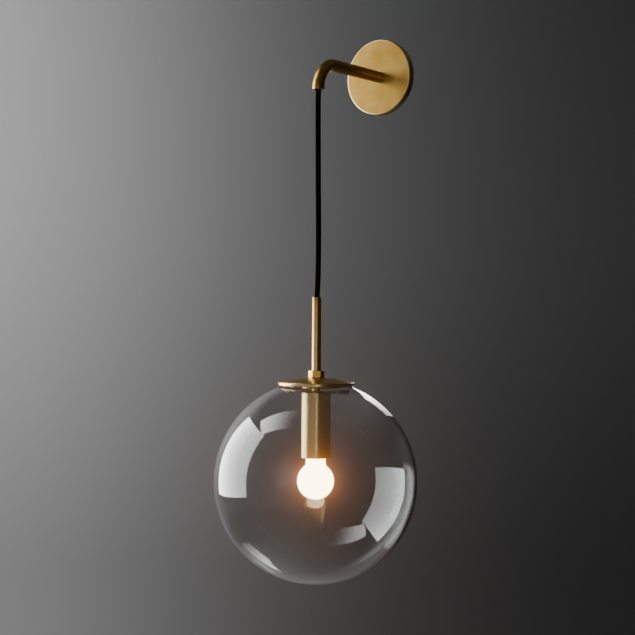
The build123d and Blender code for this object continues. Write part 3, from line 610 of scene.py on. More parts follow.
cap_shape = new_profile()
inner_size = dome_radius - cap_wall
rim_inside = cap_radius - cap_wall
rim_under = dome_centre + sqrt(inner_size**2 - rim_inside**2)
top_line = profile_line(cap_shape, [(rod_hole, cap_top), (seat_radius, cap_top)])
outer_end = arc_from(
    cap_shape, top_line[1], (0, dome_centre),
    lean(cap_radius, dome_radius) - lean(seat_radius, dome_radius), 24,
)
rim_line = profile_line(
    cap_shape, [(cap_radius, cap_bottom), (rim_inside, cap_bottom), (rim_inside, rim_under)]
)
cap_shape.edges.new((outer_end, rim_line[0]))
inner_end = arc_from(
    cap_shape, rim_line[2], (0, dome_centre),
    lean(seat_radius, inner_size) - lean(rim_inside, inner_size), 16,
)
under_line = profile_line(cap_shape, [(rod_hole, cap_top - cap_wall)])
cap_shape.edges.new((inner_end, under_line[0]))
cap_shape.edges.new((under_line[0], top_line[0]))
round_corner(cap_shape, outer_end, 0.9, segments=5)
round_corner(cap_shape, rim_line[0], 0.3, segments=3)
spin_round(cap_shape, 160, on_pendant)
glass_cap = finish_piece("cap_spun", cap_shape, "pendant", "aged_brass", "glass_cap")

# %% [markdown]
# ## The glass globe
#
# The globe is blown into a mould, 250 mm across, with a wall of 2.5 mm and a short neck.
# Clear glass looks real only when it has both of its surfaces: each one mirrors the
# lights, and the inner one shows the same window again, upside down, on the far side.
# So the outer and the inner sphere are two arcs of one profile, joined over the neck's lip.

# %% Blow the globe
glass_wall = 2.5
neck_radius = 44.5
globe_mm = globe_radius / MM
centre_mm = globe_centre.z / MM
neck_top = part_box("glass_globe")[1].z / MM
inner_mm = globe_mm - glass_wall
neck_inside = neck_radius - glass_wall
shoulder = centre_mm + sqrt(globe_mm**2 - neck_radius**2)
shoulder_inside = centre_mm + sqrt(inner_mm**2 - neck_inside**2)
glass_shape = new_profile()
neck_line = profile_line(
    glass_shape,
    [
        (neck_radius, shoulder),
        (neck_radius, neck_top),
        (neck_inside, neck_top),
        (neck_inside, shoulder_inside),
    ],
)
arc_from(
    glass_shape, neck_line[0], (0, centre_mm), pi - asin(neck_radius / globe_mm), 96,
)
arc_from(
    glass_shape, neck_line[3], (0, centre_mm), pi - asin(neck_inside / inner_mm), 96,
)
round_corner(glass_shape, neck_line[0], 2.4, segments=8)
round_corner(glass_shape, neck_line[3], 1.2, segments=6)
round_corner(glass_shape, neck_line[1], 0.9, segments=6)
round_corner(glass_shape, neck_line[2], 0.9, segments=6)
spin_round(glass_shape, 192, on_pendant)
glass_globe = finish_piece(
    "globe_blown", glass_shape, "pendant", "clear_glass", "glass_globe", sharp=180.0
)
glass_globe.modifiers.clear()
print("the globe is round everywhere, so its plain smooth shading stays")

# %% [markdown]
# ## The sleeve
#
# The lampholder hides in a brass tube, 36 mm across and 80 mm long, closed at the top. Only
# its mouth shows its thin wall, so the profile keeps that wall and breaks the edges.

# %% Turn the sleeve
sleeve_low, sleeve_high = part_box("sleeve")
sleeve_radius = radius_of("sleeve") / MM
sleeve_wall = 1.2
sleeve_top_thickness = 2.0
sleeve_top = sleeve_high.z / MM
sleeve_bottom = sleeve_low.z / MM
sleeve = turned_piece(
    "sleeve_turned",
    [
        (rod_hole, sleeve_top),
        (sleeve_radius, sleeve_top),
        (sleeve_radius, sleeve_bottom),
        (sleeve_radius - sleeve_wall, sleeve_bottom),
        (sleeve_radius - sleeve_wall, sleeve_top - sleeve_top_thickness),
        (rod_hole, sleeve_top - sleeve_top_thickness),
    ],
    [(1, 0.6, 4), (2, 0.4, 4), (3, 0.4, 4)],
    128, on_pendant, "pendant", "aged_brass", "sleeve",
)

# %% [markdown]
# ## The lamp
#
# The lamp is a golf-ball lamp of opal glass with a 27 mm screw cap. Its neck runs into the
# ball through a hollow arc that touches both, so its centre lies one hollow radius outside
# the neck and the two radii added up away from the ball's centre. The wall is one
# shell here, because lit opal glass shows no inside.

# %% Blow the lamp's glass
bulb_low, bulb_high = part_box("bulb_glass")
bulb_radius = radius_of("bulb_glass") / MM
bulb_neck = 12.0
hollow_radius = 6.0
bulb_centre = bulb_low.z / MM + bulb_radius
hollow_height = bulb_centre + sqrt(
    (bulb_radius + hollow_radius) ** 2 - (bulb_neck + hollow_radius) ** 2
)
shoulder_turn = acos((bulb_neck + hollow_radius) / (bulb_radius + hollow_radius))
bulb_shape = new_profile()
bulb_neck_line = profile_line(
    bulb_shape, [(bulb_neck, bulb_high.z / MM), (bulb_neck, hollow_height)]
)
shoulder_end = arc_from(
    bulb_shape, bulb_neck_line[1], (bulb_neck + hollow_radius, hollow_height), -shoulder_turn, 12
)
arc_from(bulb_shape, shoulder_end, (0, bulb_centre), pi / 2 + shoulder_turn, 48)
spin_round(bulb_shape, 96, on_pendant)
bulb_glass = finish_piece("bulb_opal", bulb_shape, "lamp", "opal_glass", "bulb_glass", sharp=180.0)

# %% [markdown]
# ## The lamp's screw cap
#
# With each turn the lamp comes down a little out of its holder, and its nickel-plated cap
# shows. The thread is rolled into thin sheet: a round ridge that climbs 3.6 mm a turn. The
# shell is a turned profile. The ridge is a small disc that a spin with a climb sweeps up
# the shell, half sunk into the metal and with its ends closed.

# %% Roll the screw cap
lamp_cap_low, lamp_cap_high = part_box("lamp_cap")
cap_z = lamp_cap_low.z / MM
cap_height = lamp_cap_high.z / MM - cap_z
thread_pitch = 3.6
thread_turns = 3.6
crest = radius_of("lamp_cap") / MM
root = crest - 0.95
eye = 10.5
shoulder_z = cap_height - 3.0
screw_shape = new_profile()
screw_line = profile_line(
    screw_shape,
    [
        (root - 0.3, 0),
        (root, 0),
        (root, shoulder_z),
        (eye, cap_height),
        (eye - 0.5, cap_height),
        (eye - 0.5, cap_height - 0.4),
        (root - 0.3, shoulder_z - 0.3),
    ],
    closed=True,
)
round_corner(screw_shape, screw_line[2], 1.0, segments=4)
round_corner(screw_shape, screw_line[3], 0.25, segments=2)
on_lamp = on_pendant @ Matrix.Translation((0, 0, cap_z * MM))
spin_round(screw_shape, 96, on_lamp)
bmesh.ops.remove_doubles(screw_shape, verts=screw_shape.verts, dist=1e-7)


def thread_ridge(shape, radius, depth, start, pitch, turns, place):
    """Sweep a round ridge, half sunk, up a shell, and close both of its ends."""
    before = set(shape.verts)
    disc = bmesh.ops.create_circle(
        shape, cap_ends=True, segments=12, radius=depth * MM,
        matrix=Matrix.Translation((radius * MM, 0, start * MM)) @ Matrix.Rotation(pi / 2, 4, "X"),
    )
    faces = list({face for vert in disc["verts"] for face in vert.link_faces})
    steps = round(48 * turns)
    bmesh.ops.spin(
        shape, geom=faces, cent=(0, 0, 0), axis=(0, 0, 1), angle=2 * pi * turns, steps=steps,
        dvec=(0, 0, pitch * turns * MM / steps), use_duplicate=False,
    )
    ridge = [vert for vert in shape.verts if vert not in before]
    bmesh.ops.transform(shape, matrix=place, verts=ridge)


thread_start = 1.6
thread_ridge(
    screw_shape, root, crest - root, thread_start, thread_pitch, thread_turns, on_lamp
)
screw_cap = finish_piece("lamp_cap_threaded", screw_shape, "lamp", "nickel_brass", "lamp_cap")

# %% [markdown]
# ## Colour and nodes
#
# Colours are written as the hex values that a paint card or a photo editor gives. A shader
# works in linear light, so one function turns the first into the second. One more
# function adds a node, sets its options and inputs, and links what feeds it.

# %% Helpers for materials
def colour(code):
    """The linear colour of an sRGB hex value."""
    shares = [int(code[start:start + 2], 16) / 255 for start in (0, 2, 4)]
    linear = [s / 12.92 if s <= 0.04045 else ((s + 0.055) / 1.055) ** 2.4 for s in shares]
    return (*linear, 1.0)


def add(tree, kind, inputs=None, **options):
    """Add a node: options are its own settings, inputs are values or the sockets that feed it."""
    made = tree.nodes.new(kind)
    for name, value in options.items():
        setattr(made, name, value)
    for name, value in (inputs or {}).items():
        if isinstance(value, bpy.types.NodeSocket):
            tree.links.new(value, made.inputs[name])
        else:
            made.inputs[name].default_value = value
    return made


def material(name):
    """A new material and its tree, which holds only a Principled shader and the output."""
    made = bpy.data.materials.new(name)
    made.use_nodes = True
    tree = made.node_tree
    return made, tree, tree.nodes["Principled BSDF"]


def wear(pieces, finish):
    """Give a material to pieces."""
    for piece in pieces:
        piece.data.materials.clear()
        piece.data.materials.append(finish)

# %% [markdown]
# ## Satin brass
#
# The brass is brushed, then toned a little in an ageing bath and lacquered. To the eye it is
# a warm gold whose tone clouds softly from place to place, with a fine grain that blurs
# reflections, and a paler line where edges are rubbed. A profile's rounded corners carry
# that rubbed mark as an attribute, so the line follows every turned rim. Real grain is
# finer than a tenth of a millimetre, so it is drawn a quarter wide, or it wouldn't show.

# %% Make the satin brass
def satin_brass(name, grain_scale):
    """Aged satin brass. Its fine grain is drawn out where the three scale numbers are small."""
    made, tree, shader = material(name)
    place = add(tree, "ShaderNodeTexCoord")
    clouds = add(tree, "ShaderNodeTexNoise", {
        "Vector": place.outputs["Object"], "Scale": cloud_scale, "Detail": 2.0, "Roughness": 0.45})
    tone = add(tree, "ShaderNodeMapRange", {
        "Value": clouds.outputs["Fac"], "From Min": 0.3, "From Max": 0.7})
    aged = add(tree, "ShaderNodeMix", {
        "Factor": tone.outputs["Result"], "A": colour("B0873E"), "B": colour("C4A056")},
        data_type="RGBA")
    edge = add(tree, "ShaderNodeAttribute", attribute_name="rubbed")
    rubbed = add(tree, "ShaderNodeMix", {
        "Factor": edge.outputs["Fac"], "A": aged.outputs["Result"], "B": colour("DDBE85")},
        data_type="RGBA")
    tree.links.new(rubbed.outputs["Result"], shader.inputs["Base Color"])
    shader.inputs["Metallic"].default_value = 1.0
    drawn = add(tree, "ShaderNodeMapping", {
        "Vector": place.outputs["Object"], "Scale": grain_scale})
    grain = add(tree, "ShaderNodeTexNoise", {
        "Vector": drawn.outputs["Vector"], "Scale": 1.0, "Detail": 1.0})
    gloss = add(tree, "ShaderNodeMapRange", {
        "Value": grain.outputs["Fac"], "From Min": 0.3, "From Max": 0.7,
        "To Min": 0.27, "To Max": 0.33})
    tree.links.new(gloss.outputs["Result"], shader.inputs["Roughness"])
    bump = add(tree, "ShaderNodeBump", {
        "Height": grain.outputs["Fac"], "Strength": 0.08, "Distance": 0.004 * MM})
    tree.links.new(bump.outputs["Normal"], shader.inputs["Normal"])
    return made


cloud_scale = 1 / (22 * MM)
grain_width = 0.25 * MM
across = 1 / grain_width
grain_stretch = 25
along = across / grain_stretch
turned_brass = satin_brass("satin_brass_drawn", (across, across, along))
plate_brass = satin_brass("satin_brass_spun", (across, across, across))
arm_brass = satin_brass("satin_brass_bent", (across, along, across))
wear([backplate], plate_brass)
wear([arm_tube], arm_brass)
wear([stem, cap_nut, glass_cap, sleeve], turned_brass)
print("brass grain:", round(grain_width / MM, 2), "mm wide, drawn out", grain_stretch, "times")

# %% [markdown]
# ## Other metals
#
# The bracket, rod, nuts and screws are steel with a thin zinc plating, a cool grey that is
# a little patchy from the bath. Terminals and the threaded plug are bright machined brass.
# Ferrules and tags are tinned copper, soft and pale. The lamp's cap and the holder's shell
# are brass plated with nickel, which is smooth and slightly yellow.

# %% Make the plain metals
def plain_metal(name, dark, light, smooth, rough, patch):
    """A metal whose tone and gloss vary a little over patches of one size in millimetres."""
    made, tree, shader = material(name)
    place = add(tree, "ShaderNodeTexCoord")
    patches = add(tree, "ShaderNodeTexNoise", {
        "Vector": place.outputs["Object"], "Scale": 1 / (patch * MM), "Detail": 3.0})
    share = add(tree, "ShaderNodeMapRange", {
        "Value": patches.outputs["Fac"], "From Min": 0.35, "From Max": 0.65})
    tone = add(tree, "ShaderNodeMix", {
        "Factor": share.outputs["Result"], "A": colour(dark), "B": colour(light)},
        data_type="RGBA")
    tree.links.new(tone.outputs["Result"], shader.inputs["Base Color"])
    gloss = add(tree, "ShaderNodeMapRange", {
        "Value": patches.outputs["Fac"], "To Min": smooth, "To Max": rough})
    tree.links.new(gloss.outputs["Result"], shader.inputs["Roughness"])
    shader.inputs["Metallic"].default_value = 1.0
    return made


finishes = {
    "aged_brass": turned_brass,
    "zinc_steel": plain_metal("steel_zinc_plated", "A9ACB2", "C6C8CC", 0.28, 0.45, 4.0),
    "bare_brass": plain_metal("brass_machined", "C79F52", "DDBB70", 0.18, 0.3, 2.0),
    "tinned_copper": plain_metal("copper_tinned", "B8B4AC", "D2CEC6", 0.3, 0.45, 1.2),
    "nickel_brass": plain_metal("brass_nickel_plated", "B9B3A4", "CEC9BC", 0.14, 0.24, 5.0),
}
wear([screw_cap], finishes["nickel_brass"])
print("metal finishes:", ", ".join(finish.name for finish in finishes.values()))

# %% [markdown]
# ## Clear glass
#
# Soda-lime glass bends light by 1.5, and two walls of it look faintly grey, which a very
# pale grey tint gives. Lamps shine through it without its shadow: a Light Path
# node lets light pass straight on its way to a lamp, which Cycles can't find through
# two curved surfaces otherwise.

# %% Make the clear glass
def clear_glass(name, tint, ior):
    """Clear glass that lets lamplight through."""
    made, tree, shader = material(name)
    shader.inputs["Base Color"].default_value = colour(tint)
    shader.inputs["Roughness"].default_value = 0.0
    shader.inputs["IOR"].default_value = ior
    shader.inputs["Transmission Weight"].default_value = 1.0
    output = tree.nodes["Material Output"]
    path = add(tree, "ShaderNodeLightPath")
    clear = add(tree, "ShaderNodeBsdfTransparent", {"Color": colour(tint)})
    mixed = add(tree, "ShaderNodeMixShader", {"Fac": path.outputs["Is Shadow Ray"]})
    tree.links.new(shader.outputs["BSDF"], mixed.inputs[1])
    tree.links.new(clear.outputs["BSDF"], mixed.inputs[2])
    tree.links.new(mixed.outputs["Shader"], output.inputs["Surface"])
    return made


globe_finish = clear_glass("glass_blown", "E8EAEA", 1.5)
wear([glass_globe], globe_finish)
finishes["clear_glass"] = globe_finish
finishes["stem_glass"] = clear_glass("glass_pressed", "EEF4F2", 1.52)
print("the globe is", globe_finish.name)

# %% [markdown]
# ## Lit opal glass
#
# The lamp is on. Opal glass hides its filaments and glows evenly, a warm white of about
# 2700 K. A faint noise in the glow stands for the milk in the glass, which is never
# perfectly even. The filaments inside are coated with a yellow phosphor.

# %% Make the glowing finishes
def glowing(name, base, light, weak, strong, patch):
    """A surface that glows, a little unevenly over patches of one size in millimetres."""
    made, tree, shader = material(name)
    shader.inputs["Base Color"].default_value = colour(base)
    shader.inputs["Roughness"].default_value = 0.2
    shader.inputs["Emission Color"].default_value = colour(light)
    place = add(tree, "ShaderNodeTexCoord")
    milk = add(tree, "ShaderNodeTexNoise", {
        "Vector": place.outputs["Object"], "Scale": 1 / (patch * MM), "Detail": 1.0})
    glow = add(tree, "ShaderNodeMapRange", {
        "Value": milk.outputs["Fac"], "To Min": weak, "To Max": strong})
    tree.links.new(glow.outputs["Result"], shader.inputs["Emission Strength"])
    return made


opal = glowing("glass_opal_lit", "FFF6E6", "FFE6B0", 12.0, 14.0, 15.0)
wear([bulb_glass], opal)
finishes["opal_glass"] = opal
finishes["filament"] = glowing("phosphor_coat", "F2C23C", "FFC060", 6.0, 9.0, 0.5)
print("the lamp is", opal.name)

# %% [markdown]
# ## Woven fabric
#
# The sleeve of the cord is polyester yarn, dyed black and braided. Yarn swallows light, so
# it shows almost no highlight. Along each bundle lie threads, about five to a bundle and
# coarser than real ones so that they show, which a stretched noise draws on the UV map of
# the braided piece. Where a plain packed cord shows, inside the arm, threads of the same
# size follow its Object coordinates.

# %% Make the fabric
def braided(name, place_output, thread_scale):
    """Black braided yarn, its threads drawn by a noise with three scale numbers."""
    made, tree, shader = material(name)
    place = add(tree, "ShaderNodeTexCoord")
    laid = add(tree, "ShaderNodeMapping", {
        "Vector": place.outputs[place_output], "Scale": thread_scale})
    yarn = add(tree, "ShaderNodeTexNoise", {
        "Vector": laid.outputs["Vector"], "Scale": 1.0, "Detail": 2.0})
    tone = add(tree, "ShaderNodeMix", {
        "Factor": yarn.outputs["Fac"], "A": colour("030303"), "B": colour("0F0F10")},
        data_type="RGBA")
    tree.links.new(tone.outputs["Result"], shader.inputs["Base Color"])
    shader.inputs["Roughness"].default_value = 0.85
    shader.inputs["Specular IOR Level"].default_value = 0.0
    bump = add(tree, "ShaderNodeBump", {
        "Height": yarn.outputs["Fac"], "Strength": 0.4, "Distance": 0.08 * MM})
    tree.links.new(bump.outputs["Normal"], shader.inputs["Normal"])
    return made


thread = 1 / (0.3 * MM)
wear([hanging_cord], braided("yarn_braided", "UV", (5.0, 5.0, 1.0)))
finishes["black_fabric"] = braided("yarn_braided_inside", "Object", (thread, thread, thread))
print("the cord is", hanging_cord.data.materials[0].name)

# %% [markdown]
# ## Plastics, rubber and ceramic
#
# The bushes are moulded nylon, matt with a faint texture from the mould. The cores have
# extruded PVC jackets in the standard colours. The pads and the gasket are translucent
# silicone. The lampholder's body is glazed porcelain, and black glass keeps the lamp's
# contact apart from its cap.

# %% Make the moulded and fired finishes
def moulded(name, dark, light, roughness, patch, relief, glaze=0.0, clear=0.0):
    """A finish with two near tones and a low relief, both of one size in millimetres."""
    made, tree, shader = material(name)
    place = add(tree, "ShaderNodeTexCoord")
    texture = add(tree, "ShaderNodeTexNoise", {
        "Vector": place.outputs["Object"], "Scale": 1 / (patch * MM), "Detail": 2.0})
    tone = add(tree, "ShaderNodeMix", {
        "Factor": texture.outputs["Fac"], "A": colour(dark), "B": colour(light)},
        data_type="RGBA")
    tree.links.new(tone.outputs["Result"], shader.inputs["Base Color"])
    gloss = add(tree, "ShaderNodeMapRange", {
        "Value": texture.outputs["Fac"], "To Min": roughness - 0.05, "To Max": roughness + 0.05})
    tree.links.new(gloss.outputs["Result"], shader.inputs["Roughness"])
    shader.inputs["Coat Weight"].default_value = glaze
    shader.inputs["Transmission Weight"].default_value = clear
    bump = add(tree, "ShaderNodeBump", {
        "Height": texture.outputs["Fac"], "Strength": 0.3, "Distance": relief * MM})
    tree.links.new(bump.outputs["Normal"], shader.inputs["Normal"])
    return made


finishes["black_nylon"] = moulded("nylon_moulded", "0E0E0F", "1A1A1C", 0.5, 0.4, 0.02)
finishes["silicone"] = moulded("silicone_moulded", "5C5955", "6E6A66", 0.4, 3.0, 0.01, clear=0.7)
finishes["porcelain"] = moulded("porcelain_glazed", "E6E3DB", "F1EFE9", 0.15, 6.0, 0.02, glaze=0.5)
finishes["insulator_glass"] = moulded("glass_black_pressed", "08080A", "121215", 0.12, 2.0, 0.02)
finishes["core_brown"] = moulded("jacket_brown", "4A2C1A", "5A3822", 0.38, 1.5, 0.01)
finishes["core_blue"] = moulded("jacket_blue", "1F5FA8", "2F6FB8", 0.38, 1.5, 0.01)
print("finishes so far:", len(finishes))

# %% [markdown]
# ## The striped earth core
#
# The earth core's jacket is extruded green with a yellow stripe laid in it. Slanting bands
# of a wave, about 1.5 mm apart and cut off sharply, stripe it however the core is turned. A
# diagonal wave of scale 1 repeats every 2 pi / 10 along the three axes added together.

# %% Make the striped earth core
stripe_gap = 1.451 * MM
stripe = moulded("jacket_green_yellow", "2F7D2A", "2F7D2A", 0.38, 1.5, 0.01)
stripe_tree = stripe.node_tree
jacket = stripe_tree.nodes["Principled BSDF"].inputs["Base Color"]
bands = add(stripe_tree, "ShaderNodeTexWave", {
    "Vector": add(stripe_tree, "ShaderNodeTexCoord").outputs["Object"],
    "Scale": 2 * pi / (10 * sqrt(3) * stripe_gap), "Distortion": 0.0},
    bands_direction="DIAGONAL")
cut_bands = add(stripe_tree, "ShaderNodeMapRange", {
    "Value": bands.outputs["Fac"], "From Min": 0.6, "From Max": 0.64})
striped = add(stripe_tree, "ShaderNodeMix", {
    "Factor": cut_bands.outputs["Result"], "A": jacket.links[0].from_socket,
    "B": colour("E3C52A")}, data_type="RGBA")
stripe_tree.links.new(striped.outputs["Result"], jacket)
finishes["core_green"] = stripe
print("the earth core is", stripe.name)

# %% [markdown]
# ## Finishes for the imported pieces
#
# The record says which finish each imported piece has. The pieces that keep their packed
# shape, hidden ones too, take the material of that name. Only the bar inside the globe's
# neck and its nut differ a little: their zinc has a yellow passivation, a brownish gold,
# and their colour is also painted dark as painted shade for the shadow that they sit in
# under the cap, because they show through the glass beside the brass.

# %% Dress every imported piece
for part in frame["record"]["subparts"]:
    wear([frame["nodes"][part["node"]]], finishes[part["material_slot"]])
# yellow passivated zinc, its colour also painted dark: a painted shade for the shadow under the
# cap
passivated_and_painted_shade = plain_metal("steel_zinc_yellow_painted_shade", "6E5228", "8A6A36", 0.14, 0.22, 3.0)
wear([frame["nodes"][name] for name in ("crossbar", "sleeve_nut")], passivated_and_painted_shade)

# %% [markdown]
# ## Studio
#
# The lamp hangs in a plain studio: a pale floor that curves up into a grey wall all round,
# so that no edge shows behind the clear glass from any side. Glass shows against a darker
# wall, so the wall is a middle grey, with painted light that makes it lighter on the side of
# the main light. Brass looks rich where it mirrors something dark, so the far side of the
# room is painted nearly black as painted shade, and the floor is painted darker on that side too.

# %% Build the cove
floor_z = -1900.0
wall_distance = 3300.0
cove_radius = 700.0
wall_top = 2600.0
cove_shape = new_profile()
cove_line = profile_line(
    cove_shape, [(0, floor_z), (wall_distance, floor_z), (wall_distance, wall_top)]
)
round_corner(cove_shape, cove_line[1], cove_radius, segments=24)
spin_round(cove_shape, 96, on_pendant)
close_up(cove_shape, 1e-6)
bmesh.ops.reverse_faces(cove_shape, faces=cove_shape.faces)
cove = new_object("cove", cove_shape)
cove.data.shade_smooth()
print("the wall stands", wall_distance / 1000, "m from the lamp all round")

# %% [markdown]
# ## The studio paper
#
# The paper's colour holds painted light and shade that follow its place. From left to right
# it falls by the same share in each metre, as light falls off along a real wall, so it is a
# power of a smooth share. That share grows a little towards the floor, a painted shade that
# darkens the lower right, and the floor is painted darker towards the right by the same
# share. High above the lamp the paper passes over into a glow like the sky's, so that its
# upper edge doesn't show.

# %% Paint the cove
pale_side, dark_side = -1.9, 1.7
low_z, high_z = -1.5, 0.1
low_growth = 1.22
darkest_share = 0.0385
sky_start = 1.0
sky_colour = colour("8A8C90")
sky_strength = 0.25
black = colour("000000")
paper, paper_tree, paper_shader = material("studio_paper")
paper_place = add(paper_tree, "ShaderNodeTexCoord")
paper_z = add(paper_tree, "ShaderNodeSeparateXYZ", {
    "Vector": paper_place.outputs["Object"]}).outputs["Z"]
sideways = add(paper_tree, "ShaderNodeVectorMath", {
    0: paper_place.outputs["Object"], 1: to_the_right}, operation="DOT_PRODUCT")
side_share = add(paper_tree, "ShaderNodeMapRange", {
    "Value": sideways.outputs["Value"], "From Min": pale_side, "From Max": dark_side},
    interpolation_type="SMOOTHSTEP")
low_share = add(paper_tree, "ShaderNodeMapRange", {
    "Value": paper_z, "From Min": low_z, "From Max": high_z, "To Min": low_growth,
    "To Max": 1.0}, interpolation_type="SMOOTHSTEP")
# painted light and shade: the wall darkens from left to right, and more towards the lower right
depth = add(paper_tree, "ShaderNodeMath", {
    0: side_share.outputs["Result"], 1: low_share.outputs["Result"]}, operation="MULTIPLY")
painted_light_share = add(paper_tree, "ShaderNodeMath", {
    0: darkest_share, 1: depth.outputs["Value"]}, operation="POWER")
wall_painted_light = add(paper_tree, "ShaderNodeMix", {
    "Factor": painted_light_share.outputs["Value"], "A": black, "B": colour("E1E1E2")},
    data_type="RGBA")
floor_share = add(paper_tree, "ShaderNodeMapRange", {
    "Value": paper_z, "From Min": floor_z * MM,
    "From Max": (floor_z + cove_radius / 2) * MM}, interpolation_type="SMOOTHSTEP")
# painted shade: the floor darkens towards the right
floor_painted_shade = add(paper_tree, "ShaderNodeMix", {
    "Factor": side_share.outputs["Result"], "A": colour("B4B2AE"), "B": colour("6A6866")},
    data_type="RGBA")
paper_painted_light = add(paper_tree, "ShaderNodeMix", {
    "Factor": floor_share.outputs["Result"], "A": floor_painted_shade.outputs["Result"],
    "B": wall_painted_light.outputs["Result"]}, data_type="RGBA")
sky_share = add(paper_tree, "ShaderNodeMapRange", {
    "Value": paper_z, "From Min": sky_start, "From Max": wall_top * MM},
    interpolation_type="SMOOTHSTEP")
lit_tone = add(paper_tree, "ShaderNodeMix", {
    "Factor": sky_share.outputs["Result"], "A": paper_painted_light.outputs["Result"], "B": black},
    data_type="RGBA")
sky_glow = add(paper_tree, "ShaderNodeMapRange", {
    "Value": sky_share.outputs["Result"], "To Max": sky_strength})
paper_tree.links.new(lit_tone.outputs["Result"], paper_shader.inputs["Base Color"])
paper_tree.links.new(sky_glow.outputs["Result"], paper_shader.inputs["Emission Strength"])
paper_shader.inputs["Emission Color"].default_value = sky_colour
paper_shader.inputs["Roughness"].default_value = 0.95
wear([cove], paper)
print("the paper's paint has", len(paper_tree.nodes), "nodes")

# %% [markdown]
# ## Lights
#
# One large softbox on the left does most of the work. It gives the brass its broad bright
# side, and the globe the white window that says it is glass. A second one overhead fades
# to nothing across its width. A small rim light behind catches the globe's edge, and a
# narrow strip by the camera draws a thin line down the middle of every tube. The last two
# face the walls: one washes the left of the backdrop, and one is turned to the wall behind
# the camera, which sends back a soft fill. Each is placed by how far it is to the right of
# the globe, above it and towards the camera.

# %% Helpers that make and place a light
to_the_camera = Vector((sin(camera_turn), -cos(camera_turn), 0))


def studio_axes(steps):
    """A vector given by its steps right, up and towards the camera."""
    right, up, near = steps
    return to_the_right * right + Vector((0, 0, up)) + to_the_camera * near


def aim(place, faces, roll):
    """Where a light hangs and how it is turned, so that its lower side faces a direction."""
    turn = (-studio_axes(faces)).to_track_quat("Z", "Y").to_matrix().to_4x4()
    return (
        Matrix.Translation(globe_centre + studio_axes(place))
        @ turn @ Matrix.Rotation(radians(roll), 4, "Z")
    )


def softbox(name, place, faces, size, brightness, roll=0.0, fade=("X", 1.0, 1.0)):
    """A rectangular light, in metres, that may fade along one of its sides."""
    data = bpy.data.lights.new(name, "AREA")
    data.shape = "RECTANGLE"
    data.size, data.size_y = size
    data.energy = brightness * pi * size[0] * size[1]
    light = bpy.data.objects.new(name, data)
    light.matrix_world = aim(place, faces, roll)
    light.visible_camera = False
    bpy.context.scene.collection.objects.link(light)
    data.use_nodes = True
    tree = data.node_tree
    side, first, last = fade
    spot = add(tree, "ShaderNodeNewGeometry")
    sides = add(tree, "ShaderNodeSeparateXYZ", {"Vector": spot.outputs["Parametric"]})
    share = add(tree, "ShaderNodeMapRange", {
        "Value": sides.outputs[side], "To Min": first, "To Max": last},
        interpolation_type="SMOOTHSTEP")
    tree.links.new(share.outputs["Result"], tree.nodes["Emission"].inputs["Strength"])

# %% [markdown]
# The large softbox stands where other views look through the globe. A lamp object would
# show there as a white sheet, so this one is a glowing card. Its Light Path node clears
# the card from rays that come straight through the glass and leaves it for rays that have
# been mirrored once, so the globe mirrors it but never shows it behind itself.

# %% A helper that makes a glowing card
def glowing_card(name, size, place, far_glow, near_glow):
    """A card that glows on its lower side and is clear to rays straight through glass."""
    shape = bmesh.new()
    shape.loops.layers.uv.new("card")
    bmesh.ops.create_grid(shape, x_segments=1, y_segments=1, size=0.5, calc_uvs=True)
    bmesh.ops.scale(shape, vec=(*size, 1), verts=shape.verts)
    bmesh.ops.reverse_faces(shape, faces=shape.faces)
    bmesh.ops.transform(shape, matrix=place, verts=shape.verts)
    card = new_object(name, shape)
    card.visible_camera = False
    card.visible_shadow = False
    look, tree, shader = material(name)
    tree.nodes.remove(shader)
    sides = add(tree, "ShaderNodeSeparateXYZ", {
        "Vector": add(tree, "ShaderNodeTexCoord").outputs["UV"]})
    share = add(tree, "ShaderNodeMapRange", {
        "Value": sides.outputs["X"], "To Min": far_glow, "To Max": near_glow},
        interpolation_type="SMOOTHSTEP")
    light = add(tree, "ShaderNodeEmission", {"Strength": share.outputs["Result"]})
    clear = add(tree, "ShaderNodeBsdfTransparent")
    path = add(tree, "ShaderNodeLightPath")
    unmirrored = add(tree, "ShaderNodeMath", {
        0: 1.0, 1: path.outputs["Glossy Depth"]}, operation="SUBTRACT", use_clamp=True)
    through = add(tree, "ShaderNodeMath", {
        0: path.outputs["Is Transmission Ray"], 1: unmirrored.outputs["Value"]},
        operation="MULTIPLY")
    back = add(tree, "ShaderNodeNewGeometry")
    hidden = add(tree, "ShaderNodeMath", {
        0: back.outputs["Backfacing"], 1: through.outputs["Value"]}, operation="MAXIMUM")
    shown = add(tree, "ShaderNodeMixShader", {"Fac": hidden.outputs["Value"]})
    tree.links.new(light.outputs["Emission"], shown.inputs[1])
    tree.links.new(clear.outputs["BSDF"], shown.inputs[2])
    tree.links.new(shown.outputs["Shader"], tree.nodes["Material Output"].inputs["Surface"])
    wear([card], look)

# %% [markdown]
# A light that fades is given the shares of its brightness at its two ends. Its mirror image
# in the glass and the brass then has one bright end, as that of a real softbox has.

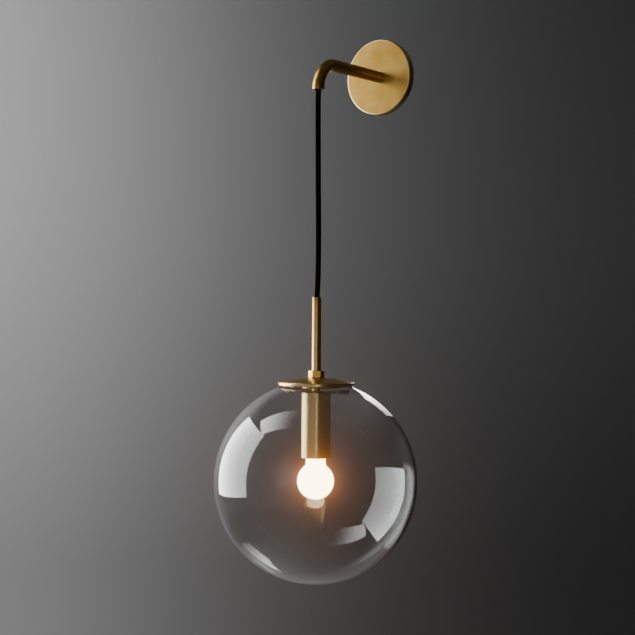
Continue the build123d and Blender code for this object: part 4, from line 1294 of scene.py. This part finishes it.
# %% Hang the lights
left_place = aim(place=(-1.4, 0.435, -0.615), faces=(1, 0, 0), roll=2.0)
glowing_card("softbox_left", (1.67, 1.53), left_place, far_glow=12.0, near_glow=6.3)
softbox(
    "softbox_over", place=(-1.1, 1.6, 0.01), faces=(0, -1, 0), size=(1.36, 0.74),
    brightness=8.5, roll=10.9, fade=("X", 1.0, 0.0),
)
softbox(
    "rim_behind", place=(0.55, 0.55, -1.5), faces=(-0.33, -0.33, 0.88), size=(0.65, 0.35),
    brightness=6.0, roll=-45.0, fade=("Y", 0.2, 1.2),
)
softbox("strip_front", (0.12, 0.15, 2.2), (0, 0, -1), (0.12, 1.4), 4.0)
softbox("wash_left", (-1.5, 1.2, -1.3), (-0.3, 0.1, -1), (1.2, 1.4), 4.8)
softbox("bounce_front", (-0.6, 0.2, 2.0), (-0.15, 0, 1), (1.6, 1.6), 1.8)
print("lights:", len(bpy.data.lights), "and one glowing card")

# %% [markdown]
# A little even grey light comes from all round, as in a white-walled room, so that no shadow
# is quite black.

# %% Light the room
world = bpy.data.worlds.new("studio")
world.use_nodes = True
sky = world.node_tree.nodes["Background"]
sky.inputs["Color"].default_value = sky_colour
sky.inputs["Strength"].default_value = sky_strength
bpy.context.scene.world = world
print("even light:", sky_strength)

# %% [markdown]
# ## Glow
#
# A camera's lens spreads a little of a very bright lamp's light over the picture around it.
# Only what is brighter than white paper spreads, and its glow is as warm as the lamp.

# %% Add the lens's glow
scene = bpy.context.scene
scene.use_nodes = True
post = scene.node_tree
post.nodes.clear()
layers = post.nodes.new("CompositorNodeRLayers")
bloom = post.nodes.new("CompositorNodeGlare")
bloom.glare_type = "BLOOM"
bloom_settings = {
    "Threshold": 2.0, "Strength": 0.4, "Size": 0.55, "Tint": colour("FFA246"),
}
for name, value in bloom_settings.items():
    bloom.inputs[name].default_value = value
picture = post.nodes.new("CompositorNodeComposite")
post.links.new(layers.outputs["Image"], bloom.inputs["Image"])
post.links.new(bloom.outputs["Image"], picture.inputs["Image"])
print("glow starts at", bloom_settings["Threshold"])
